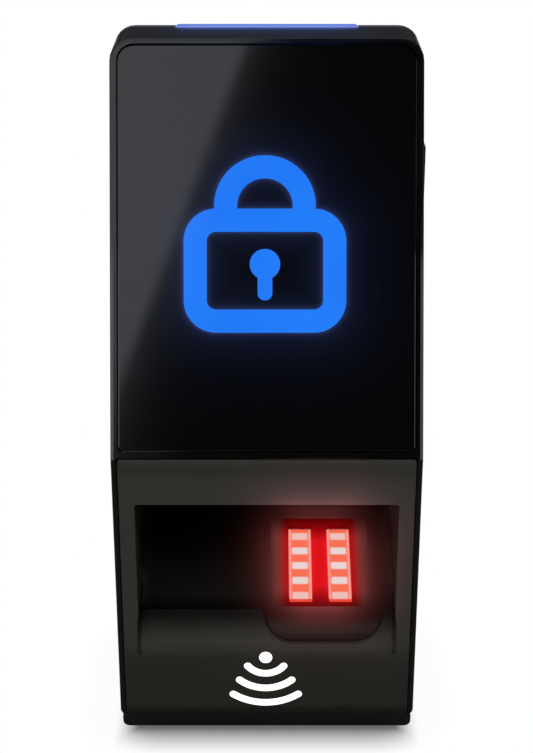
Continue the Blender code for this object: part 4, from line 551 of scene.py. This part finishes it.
def rubber(name, dark, light, roughness, grain_mm):
    """Moulded rubber: dull, with a slight bloom that lightens it in patches."""
    material, tree, shader = new_material(name, IOR=1.52, Specular_IOR_Level=0.4)
    tree.links.new(drifting_colour(tree, 4.0, dark, light), shader.inputs["Base Color"])
    tree.links.new(drift(tree, 3.0, roughness - 0.06, roughness + 0.06), shader.inputs["Roughness"])
    tree.links.new(grain(tree, grain_mm, 0.01, 0.3), shader.inputs["Normal"])
    return material


def metal(name, dark, light, roughness, crystal_mm, metallic=1.0):
    """Plated or blackened metal whose tone steps from crystal to crystal."""
    material, tree, shader = new_material(name, Metallic=metallic)
    crystals = add(tree, "TexVoronoi", output="Color", named={
        "Vector": add(tree, "TexCoord", output="Object"), "Scale": 1 / (crystal_mm * MM)})
    tone = add(tree, "SeparateColor", crystals, output=0)
    colour = add(tree, "Mix", data_type="RGBA", output=2, named={0: tone, 6: linear(dark), 7: linear(light)})
    tree.links.new(colour, shader.inputs["Base Color"])
    tree.links.new(drift(tree, crystal_mm, roughness - 0.05, roughness + 0.05), shader.inputs["Roughness"])
    tree.links.new(grain(tree, 0.3, 0.003, 0.25), shader.inputs["Normal"])
    return material


def board(name, mask):
    """A circuit board: green solder mask over a brick pattern of darker copper tracks, with a fine grain."""
    material, tree, shader = new_material(name, IOR=1.5)
    tracks = add(tree, "TexBrick", output="Color", named={
        "Vector": add(tree, "TexCoord", output="Object"), "Scale": 1 / (2.4 * MM), "Mortar Size": 0.06,
        "Mortar": linear("#0E4A22"), "Color1": linear(mask), "Color2": linear("#0A3A1A")})
    tree.links.new(tracks, shader.inputs["Base Color"])
    tree.links.new(drift(tree, 4.0, 0.29, 0.41), shader.inputs["Roughness"])
    tree.links.new(grain(tree, 0.6, 0.01, 0.2), shader.inputs["Normal"])
    return material


def smooth_plastic(name, dark, light, roughness):
    """A small moulded part, such as a connector body, with a slight sheen."""
    material, tree, shader = new_material(name, IOR=1.5)
    tree.links.new(drifting_colour(tree, 3.0, dark, light), shader.inputs["Base Color"])
    tree.links.new(drift(tree, 2.0, roughness - 0.05, roughness + 0.05), shader.inputs["Roughness"])
    return material


blue_guide = lit_guide()
seal_rubber = rubber("epdm_black", "#070707", "#0B0B0B", 0.75, 0.25)
cover_rubber = rubber("silicone_black", "#0A0A0A", "#0E0E0E", 0.42, 0.2)
zinc = metal("zinc_plated_steel", "#A2A5A9", "#B0B2B5", 0.42, 2.2, metallic=0.6)
screw_black = metal("black_oxide_steel", "#3C3C40", "#4A4A4E", 0.36, 0.8)
tin = metal("tin_plated_brass", "#B4B2AC", "#C8C6C0", 0.28, 1.6)
gold = metal("gold_plated_bronze", "#C9A24E", "#DDB867", 0.25, 0.6)
board_green = board("solder_mask_green", "#0B4A20")
connector_green = smooth_plastic("polyamide_green", "#1E6B38", "#247640", 0.42)
plunger_white = smooth_plastic("acetal_natural", "#C9C8C2", "#D6D5CF", 0.4)
print("finishes so far:", len(bpy.data.materials))

# %% Dress the nodes
finishes = {
    "front_frame": shell_black, "rear_housing": back_black, "lower_bezel": bezel_grey,
    "finger_guide": guide_black, "front_glass": glass_black, "sensor_window": sensor_glass,
    "light_strip_left": strip_left, "light_strip_right": strip_right, "sensor_prism": prism_glass,
    "light_bar": blue_guide, "housing_seal": seal_rubber, "glass_tape": seal_rubber,
    "port_cover": cover_rubber, "wall_plate": zinc, "security_screw": screw_black,
    "port_cover_pin": screw_black, "rf_shield": tin, "coin_cell": tin, "rj45_jack": tin, "usb_socket": tin,
    "terminal_block": connector_green, "tamper_plunger": plunger_white, "display_panel": case_black,
    "sensor_case": sensor_black, "coin_cell_holder": case_black, "buzzer": case_black,
    "tamper_switch": case_black,
}
for board_name in ("display_board", "sensor_board", "antenna_board", "light_bar_board", "main_board"):
    finishes[board_name] = board_green
for number in range(1, 5):
    finishes[f"housing_screw_{number}"] = screw_black
    finishes[f"board_screw_{number}"] = screw_black
for name, material in finishes.items():
    mesh = nodes[name].data
    mesh.materials.clear()
    mesh.materials.append(material)
print("dressed", len(finishes), "of", len(nodes), "nodes; bare:", sorted(set(nodes) - set(finishes)))


# %% [markdown]
# ## Modelling helpers
# Operators act on what is selected, so each step starts from a clean selection. A finished piece has
# its place in its mesh, with its object at the origin, as the nodes have.

# %% Modelling helpers
def start_clean():
    """Leave edit mode and select nothing."""
    if bpy.context.object and bpy.context.object.mode != "OBJECT":
        bpy.ops.object.mode_set(mode="OBJECT")
    bpy.ops.object.select_all(action="DESELECT")


def place_flat(piece, matrix):
    """Turn flat work into place on a plane and put that place into its mesh."""
    start_clean()
    piece.select_set(True)
    bpy.context.view_layer.objects.active = piece
    bpy.ops.object.transform_apply(location=True, rotation=True, scale=True)
    piece.data.transform(matrix)
    piece.data.update()
    return piece


def finish_piece(piece, name, material, body="terminal"):
    """Name a piece, give it its finish and let it ride on its body."""
    piece.name = name
    piece.data.name = name
    piece.data.materials.clear()
    piece.data.materials.append(material)
    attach(piece, body)
    return piece


print("modelling helpers ready")


# %% [markdown]
# ## The lit sign
# The sign on the display is one colour with a crisp edge. It is modelled as a thin sheet on the
# glass, with the gloss of the glass over it, because a shape keeps a sharper edge than a pattern.

# %% Lit sign
SIGN_THICKNESS = 0.04
GLASS_OUTER = -0.2
COVER_HALF = (16.0, 15.0)


def sign_light():
    """The display's light seen through glass: one even blue under a clear gloss."""
    material, tree, shader = new_material(
        "display_light_blue", IOR=1.52, Roughness=0.05, Emission_Strength=0.97)
    tree.links.new(drifting_colour(tree, 20.0, "#1E78F8", "#2480FE"), shader.inputs["Emission Color"])
    shader.inputs["Base Color"].default_value = linear("#040404")
    return material


def flat_rounded(name, centre, half_size, radius, thickness_mm, segments=12):
    """A flat plate with round corners, lying on the XY plane, in millimetres."""
    start_clean()
    bpy.ops.mesh.primitive_plane_add(size=1.0, location=(centre[0] * MM, centre[1] * MM, 0.0))
    piece = bpy.context.object
    piece.name = name
    piece.scale = (2 * half_size[0] * MM, 2 * half_size[1] * MM, 1.0)
    bpy.ops.object.transform_apply(location=True, rotation=True, scale=True)
    bpy.ops.object.mode_set(mode="EDIT")
    bpy.ops.mesh.select_all(action="SELECT")
    bpy.ops.mesh.bevel(offset=radius * MM, segments=segments, affect="VERTICES")
    bpy.ops.mesh.select_all(action="SELECT")
    bpy.ops.mesh.extrude_region_move(TRANSFORM_OT_translate={"value": (0.0, 0.0, thickness_mm * MM)})
    bpy.ops.mesh.select_all(action="SELECT")
    bpy.ops.mesh.normals_make_consistent(inside=False)
    bpy.ops.object.mode_set(mode="OBJECT")
    return piece


def join_flat(piece, other, operation):
    """Cut one flat piece out of another, or join them into one closed shape."""
    if operation == "DIFFERENCE":
        other.scale.z = 3.0
        other.location.z -= SIGN_THICKNESS * MM
    start_clean()
    piece.select_set(True)
    bpy.context.view_layer.objects.active = piece
    change = piece.modifiers.new("change", "BOOLEAN")
    change.operation = operation
    change.object = other
    bpy.ops.object.modifier_apply(modifier="change")
    bpy.data.objects.remove(other)
    return piece


def outline_ring(name, centre, half_size, radius):
    """A rounded outline as wide as the sign's stroke."""
    ring = flat_rounded(name, centre, half_size, radius, SIGN_THICKNESS)
    inside = (half_size[0] - SIGN_STROKE, half_size[1] - SIGN_STROKE)
    hole = flat_rounded("hole", centre, inside, max(radius - SIGN_STROKE, 0.5), SIGN_THICKNESS)
    return join_flat(ring, hole, "DIFFERENCE")


blue_light = sign_light()
on_glass = glass_plane @ Matrix.Translation((0.0, 0.0, GLASS_OUTER * MM))
lock_body = outline_ring("sign_body", BODY_CENTRE, BODY_HALF, BODY_RADIUS)
shackle = outline_ring("sign_shackle", SHACKLE_CENTRE, SHACKLE_HALF, SHACKLE_RADIUS)
cover_centre = (SIGN_X, SHACKLE_FOOT - COVER_HALF[1])
cover_up = flat_rounded("cover_up", cover_centre, COVER_HALF, 0.01, SIGN_THICKNESS, segments=1)
join_flat(shackle, cover_up, "DIFFERENCE")
keyhole = flat_rounded("sign_keyhole", KEYHOLE_CENTRE, (KEYHOLE_HALF, KEYHOLE_HALF), 3.25, SIGN_THICKNESS)
slot_centre = (SIGN_X, KEYHOLE_CENTRE[1] - KEY_SLOT_DROP)
key_slot = flat_rounded("sign_key_slot", slot_centre, KEY_SLOT_HALF, 1.5, SIGN_THICKNESS)
for piece in (lock_body, shackle, keyhole, key_slot):
    place_flat(piece, on_glass)
    finish_piece(piece, piece.name, blue_light)
print("sign pieces:", [piece.name for piece in (lock_body, shackle, keyhole, key_slot)])

# %% [markdown]
# ## The printed mark for cards
# Below the recess a white mark shows where a card is held: a dot with arcs that spread from it. It
# is screen printed, so it is a film a few hundredths of a millimetre thick. One arc is a short bar
# spun about a centre, with a disc joined to each end to round it.

# %% Card mark
MARK_CENTRE = (-0.25, -48.4)
ARC_RADII = (5.2, 9.2, 13.2)
ARC_HALF_ANGLES = (52.0, 40.5, 34.5)
ARC_STROKE = 1.75
INK_THICKNESS = 0.03
DOT_DROP = 0.9
DOT_HALF = 1.5


def screen_ink():
    """Two-part screen ink: white, nearly opaque, slightly uneven, dull, with a painted glow that keeps it
    white.
    """
    material, tree, shader = new_material("screen_ink_white", IOR=1.5, Emission_Strength=0.9)
    tree.links.new(drifting_colour(tree, 2.0, "#EDECE8", "#F6F5F2"), shader.inputs["Base Color"])
    tree.links.new(drift(tree, 1.5, 0.45, 0.55), shader.inputs["Roughness"])
    shader.inputs["Emission Color"].default_value = linear("#F4F3F0")
    return material


def printed_arc(name, radius, half_angle):
    """A bar of ink spun about the mark's centre through twice the half angle, with round ends."""
    start_clean()
    centre = Vector((MARK_CENTRE[0] * MM, MARK_CENTRE[1] * MM, 0.0))
    bpy.ops.mesh.primitive_plane_add(size=1.0, location=centre + Vector((0.0, -radius * MM, 0.0)))
    piece = bpy.context.object
    piece.scale = (ARC_STROKE * MM, INK_THICKNESS * MM, 1.0)
    piece.rotation_euler = (math.pi / 2, 0.0, math.pi / 2)
    bpy.ops.object.transform_apply(location=True, rotation=True, scale=True)
    bpy.ops.object.mode_set(mode="EDIT")
    bpy.ops.mesh.select_all(action="SELECT")
    turn = math.radians(half_angle)
    bpy.ops.transform.rotate(value=-turn, orient_axis="Z", center_override=centre)
    bpy.ops.mesh.spin(steps=32, angle=2 * turn, center=centre, axis=(0.0, 0.0, 1.0))
    bpy.ops.mesh.select_all(action="SELECT")
    bpy.ops.mesh.remove_doubles(threshold=MM * 0.001)
    bpy.ops.mesh.normals_make_consistent(inside=False)
    bpy.ops.object.mode_set(mode="OBJECT")
    low = min(corner.co.z for corner in piece.data.vertices)
    for side in (-1, 1):
        end = (MARK_CENTRE[0] + side * radius * math.sin(turn), MARK_CENTRE[1] - radius * math.cos(turn))
        half = ARC_STROKE / 2
        disc = flat_rounded("disc", end, (half, half), half - 0.01, INK_THICKNESS)
        disc.location.z += low
        join_flat(piece, disc, "UNION")
    return piece


ink_with_painted_glow = screen_ink()
on_apron = apron_plane @ Matrix.Translation((0.0, 0.0, INK_THICKNESS * MM / 2))
for number, (radius, half_angle) in enumerate(zip(ARC_RADII, ARC_HALF_ANGLES), start=1):
    arc = printed_arc(f"card_mark_arc_{number}", radius, half_angle)
    place_flat(arc, on_apron)
    finish_piece(arc, f"card_mark_arc_{number}", ink_with_painted_glow)
    print(arc.name, "faces:", len(arc.data.polygons))
dot_centre = (MARK_CENTRE[0], MARK_CENTRE[1] - DOT_DROP)
dot = flat_rounded("card_mark_dot", dot_centre, (DOT_HALF, DOT_HALF), 1.49, INK_THICKNESS)
place_flat(dot, on_apron)
finish_piece(dot, "card_mark_dot", ink_with_painted_glow)
print("card mark centre, mm below the knee:", -MARK_CENTRE[1])

# %% [markdown]
# ## Light seals
# Three soft seals keep light where it belongs. One lines the notch round the light bar, on three
# sides because the notch is open at the back. A foam strip on the back of the finger guide covers
# the gap between it and the moulding, and a thin gasket fills the gap round the sensor's window.

# %% Light seals
BAR_SEAL_HEIGHT = 1.2
GUIDE_SEAL_FOOT = -20.2
GUIDE_SEAL_HEIGHT = 3.0
GASKET_TOP = -1.23
GASKET_HEIGHT = 0.9

bar_seal = flat_rounded("light_bar_seal", (0.0, -16.71), (20.58, 1.67), 0.1, BAR_SEAL_HEIGHT, segments=2)
bar_room = flat_rounded("bar_room", (0.0, -16.5), (20.3, 1.6), 0.1, BAR_SEAL_HEIGHT, segments=2)
join_flat(bar_seal, bar_room, "DIFFERENCE")
place_flat(bar_seal, plane_matrix(0.0, TOP - BAR_SEAL_HEIGHT * MM, 0.0))
finish_piece(bar_seal, "light_bar_seal", seal_rubber)
guide_seal = flat_rounded("guide_seal", (0.0, -20.28), (26.0, 0.5), 0.3, GUIDE_SEAL_HEIGHT, segments=3)
place_flat(guide_seal, plane_matrix(0.0, GUIDE_SEAL_FOOT * MM, 0.0))
finish_piece(guide_seal, "guide_seal", seal_rubber)
gasket = flat_rounded("window_gasket", WINDOW_CENTRE, (11.89, 14.09), 0.1, GASKET_HEIGHT, segments=2)
window_room = flat_rounded("window_room", WINDOW_CENTRE, (11.61, 13.81), 0.05, GASKET_HEIGHT, segments=1)
join_flat(gasket, window_room, "DIFFERENCE")
place_flat(gasket, ramp_plane @ Matrix.Translation((0.0, 0.0, (GASKET_TOP - GASKET_HEIGHT) * MM)))
finish_piece(gasket, "window_gasket", gasket_black)
print("seals:", bar_seal.name, guide_seal.name, gasket.name)

# %% [markdown]
# ## Studio
# The reader was photographed on white, with a soft shadow under its chin. The floor and the air
# round it are white to the camera and dim to the reflections, so they add no light of their own.
# The shadow is painted into the floor's white: it darkens by ambient occlusion where the reader
# stands close over it, and only across the reader's width.

# %% Floor and air
CONTACT_REACH = 0.013
SHADOW_HALF_WIDTH = 36.0


def white_to_camera(tree, dim):
    """White for the camera, and a dim share of it for reflections and for light seen through glass."""
    in_gloss = add(tree, "LightPath", output="Is Glossy Ray")
    in_glass = add(tree, "LightPath", output="Is Transmission Ray")
    indirect = add(tree, "Math", in_gloss, in_glass, operation="MAXIMUM")
    shared = add(tree, "Math", indirect, dim, operation="MULTIPLY")
    return add(tree, "Math", add(tree, "LightPath", output="Is Camera Ray"), shared, operation="ADD")


scene = bpy.context.scene
scene.view_settings.view_transform = "Standard"
world = bpy.data.worlds.new("studio_air")
world.use_nodes = True
background = world.node_tree.nodes["Background"]
background.inputs["Color"].default_value = (1.0, 1.0, 1.0, 1.0)
strength = add(world.node_tree, "Math", white_to_camera(world.node_tree, 0.03), 0.03, operation="MAXIMUM")
world.node_tree.links.new(strength, background.inputs["Strength"])
scene.world = world

start_clean()
bpy.ops.mesh.primitive_plane_add(size=6.0, location=(0.0, 0.0, cad_box[0][2] - 0.0006))
floor = bpy.context.object
floor.name = "studio_floor"
material, tree, shader = new_material("floor_paper_white", Roughness=0.9)
shader.inputs["Base Color"].default_value = linear("#8C8C8C")
# Painted shadow: the floor's white dims by ambient occlusion near the reader, only across its width.
open_air = add(tree, "AmbientOcclusion", output="AO", samples=24, named={"Distance": CONTACT_REACH})
from_middle = off_middle(tree, add(tree, "TexCoord", output="Object"))
beside = add(tree, "MapRange", interpolation_type="SMOOTHSTEP", named={
    "Value": from_middle, "From Min": (SHADOW_HALF_WIDTH - 8.0) * MM, "From Max": SHADOW_HALF_WIDTH * MM,
    "To Min": 0.0, "To Max": 0.97})
painted_occlusion_shade = add(tree, "MapRange", named={
    "Value": open_air, "From Min": 0.42, "From Max": 0.92, "To Min": 0.14, "To Max": 1.0})
painted_shadow = add(tree, "Math", painted_occlusion_shade, beside, operation="MAXIMUM")
seen_white = add(tree, "Emission", named={"Color": (1.0, 1.0, 1.0, 1.0)})
glowing = seen_white.node
tree.links.new(add(tree, "Math", painted_shadow, white_to_camera(tree, 0.12), operation="MULTIPLY"),
               glowing.inputs["Strength"])
seen = add(tree, "Math", white_to_camera(tree, 1.0), 1.0, operation="MINIMUM")
mixed = add(tree, "MixShader", seen, shader.outputs["BSDF"], seen_white)
tree.links.new(mixed, tree.nodes["Material Output"].inputs["Surface"])
floor.data.materials.append(material)
print("floor at", round(cad_box[0][2], 4))

# %% [markdown]
# ## The card that the glass mirrors
# The glass shows a pale sheen on its left with a slanted soft edge. That is a white card ahead of
# the reader, out of the camera's view. Its place was found by following the camera's rays off the
# glass, and its glow fades over the slanted edge.

# %% Mirrored card
CARD_DISTANCE = 1.2
CARD_CORNERS = ((-2.2, 0.25), (0.18, 3.6))
SLANT_TOP = 760.0
EDGE_POINT = (-52.6, 631.9)
EDGE_SLOPE = 0.328
EDGE_FADE = (-10.0, 3.0)
TAIL_REACH = 22.0
CARD_LIGHT = 1.3

start_clean()
card_centre = [(low + high) / 2 for low, high in zip(*CARD_CORNERS)]
bpy.ops.mesh.primitive_plane_add(size=1.0, rotation=(math.pi / 2, 0.0, 0.0), location=(
    card_centre[0], -CARD_DISTANCE, card_centre[1]))
card = bpy.context.object
card.name = "mirrored_card"
card.scale = (CARD_CORNERS[1][0] - CARD_CORNERS[0][0], CARD_CORNERS[1][1] - CARD_CORNERS[0][1], 1.0)
bpy.ops.object.transform_apply(location=True, rotation=True, scale=True)
material, tree, shader = new_material("card_white", Roughness=0.9)
shader.inputs["Base Color"].default_value = linear("#101010")
place = add(tree, "TexCoord", output="Object")
across = add(tree, "Math", add(tree, "SeparateXYZ", place, output="X"), 1 / MM, operation="MULTIPLY")
height = add(tree, "Math", add(tree, "SeparateXYZ", place, output="Z"), 1 / MM, operation="MULTIPLY")
dimmer_up = add(tree, "MapRange", named={
    "Value": height, "From Min": 900.0, "From Max": 1500.0, "To Min": 1.0, "To Max": 0.78})
height = add(tree, "Math", height, SLANT_TOP, operation="MINIMUM")
edge_at_floor = EDGE_SLOPE * EDGE_POINT[1] - EDGE_POINT[0]
slant = add(tree, "Math", height, -EDGE_SLOPE, edge_at_floor, operation="MULTIPLY_ADD")
past_edge = add(tree, "Math", across, slant, operation="ADD")
crisp = add(tree, "MapRange", interpolation_type="SMOOTHSTEP", named={
    "Value": past_edge, "From Min": EDGE_FADE[0], "From Max": EDGE_FADE[1], "To Min": 0.6 * CARD_LIGHT,
    "To Max": 0.0})
past_fade = add(tree, "Math", past_edge, -EDGE_FADE[0], operation="ADD")
tail = glow(tree, past_fade, TAIL_REACH, 0.38 * CARD_LIGHT)
light = add(tree, "Math", add(tree, "Math", crisp, tail, operation="ADD"), dimmer_up, operation="MULTIPLY")
tree.links.new(light, shader.inputs["Emission Strength"])
bluer = add(tree, "MapRange", named={
    "Value": past_edge, "From Min": -420.0, "From Max": -40.0, "To Min": 0.0, "To Max": 1.0})
tint = add(tree, "Mix", data_type="RGBA", output=2,
           named={0: bluer, 6: linear("#F6FFFA"), 7: linear("#F2F4FF")})
tree.links.new(tint, shader.inputs["Emission Color"])
card.data.materials.append(material)
card.visible_camera = False
print("card spans", CARD_CORNERS)

# %% [markdown]
# The top of the frame and its rounded edge mirror the air behind the reader, which grows brighter
# higher up: a faint wide panel that only reflections see.

# %% High panel behind
HIGH_PANEL_DISTANCE = 1.5
HIGH_PANEL_HEIGHTS = (0.1, 2.6)
HIGH_PANEL_WIDTH = 2.4

start_clean()
bpy.ops.mesh.primitive_plane_add(size=1.0, rotation=(math.pi / 2, 0.0, 0.0), location=(
    0.0, HIGH_PANEL_DISTANCE, sum(HIGH_PANEL_HEIGHTS) / 2))
high_panel = bpy.context.object
high_panel.name = "high_panel"
high_panel.scale = (HIGH_PANEL_WIDTH, HIGH_PANEL_HEIGHTS[1] - HIGH_PANEL_HEIGHTS[0], 1.0)
bpy.ops.object.transform_apply(location=True, rotation=True, scale=True)
material, tree, shader = new_material("panel_grey", Roughness=0.9)
shader.inputs["Base Color"].default_value = linear("#101010")
upward = add(tree, "MapRange", named={
    "Value": add(tree, "SeparateXYZ", add(tree, "TexCoord", output="Object"), output="Z"),
    "From Min": 0.7, "From Max": 1.1, "To Min": 0.045, "To Max": 0.22})
tree.links.new(upward, shader.inputs["Emission Strength"])
shader.inputs["Emission Color"].default_value = linear("#F8FAFF")
high_panel.data.materials.append(material)
high_panel.visible_camera = False
print("high panel from", HIGH_PANEL_HEIGHTS[0], "to", HIGH_PANEL_HEIGHTS[1])

# %% [markdown]
# ## Lamps
# A soft panel overhead lights the top, and the brow of the lower moulding keeps it out of the
# recess. A small one just above the lens lights the lower moulding and falls off down it. Panels at
# the sides draw the thin light edges of the frame, and two behind show the back in other views.


# %% Lamps
def soft_panel(name, place, aim, size, power, mirrored=True):
    """A soft lamp that faces a point; one that isn't mirrored leaves no image in glossy pieces."""
    light = bpy.data.lights.new(name, "AREA")
    light.shape = "RECTANGLE"
    light.size, light.size_y = size
    light.energy = power
    lamp = bpy.data.objects.new(name, light)
    lamp.location = place
    lamp.rotation_euler = (Vector(aim) - Vector(place)).to_track_quat("-Z", "Y").to_euler()
    lamp.visible_camera = False
    lamp.visible_glossy = mirrored
    scene.collection.objects.link(lamp)
    return lamp


lower_face = (0.0, -0.06, -0.03)
middle = (0.0, -0.03, 0.0)
soft_panel("top_panel", (0.0, 0.2, 0.85), middle, (0.8, 0.5), 7.5)
soft_panel("near_panel", (0.05, -0.2, 0.14), lower_face, (0.2, 0.05), 0.26, mirrored=False)
soft_panel("left_panel", (-0.8, -0.1, 0.2), middle, (0.3, 0.8), 4.5)
soft_panel("right_panel", (0.8, -0.15, 0.0), middle, (0.3, 0.8), 4.5)
soft_panel("back_left_panel", (-0.8, 0.55, 0.1), middle, (0.4, 0.5), 3.5, mirrored=False)
soft_panel("back_right_panel", (0.8, 0.55, 0.1), middle, (0.4, 0.5), 3.5, mirrored=False)
soft_panel("edge_left_panel", (-0.8, -0.68, 0.1), middle, (0.25, 0.4), 0.3)
soft_panel("edge_right_panel", (0.8, -0.68, 0.1), middle, (0.25, 0.4), 0.42)
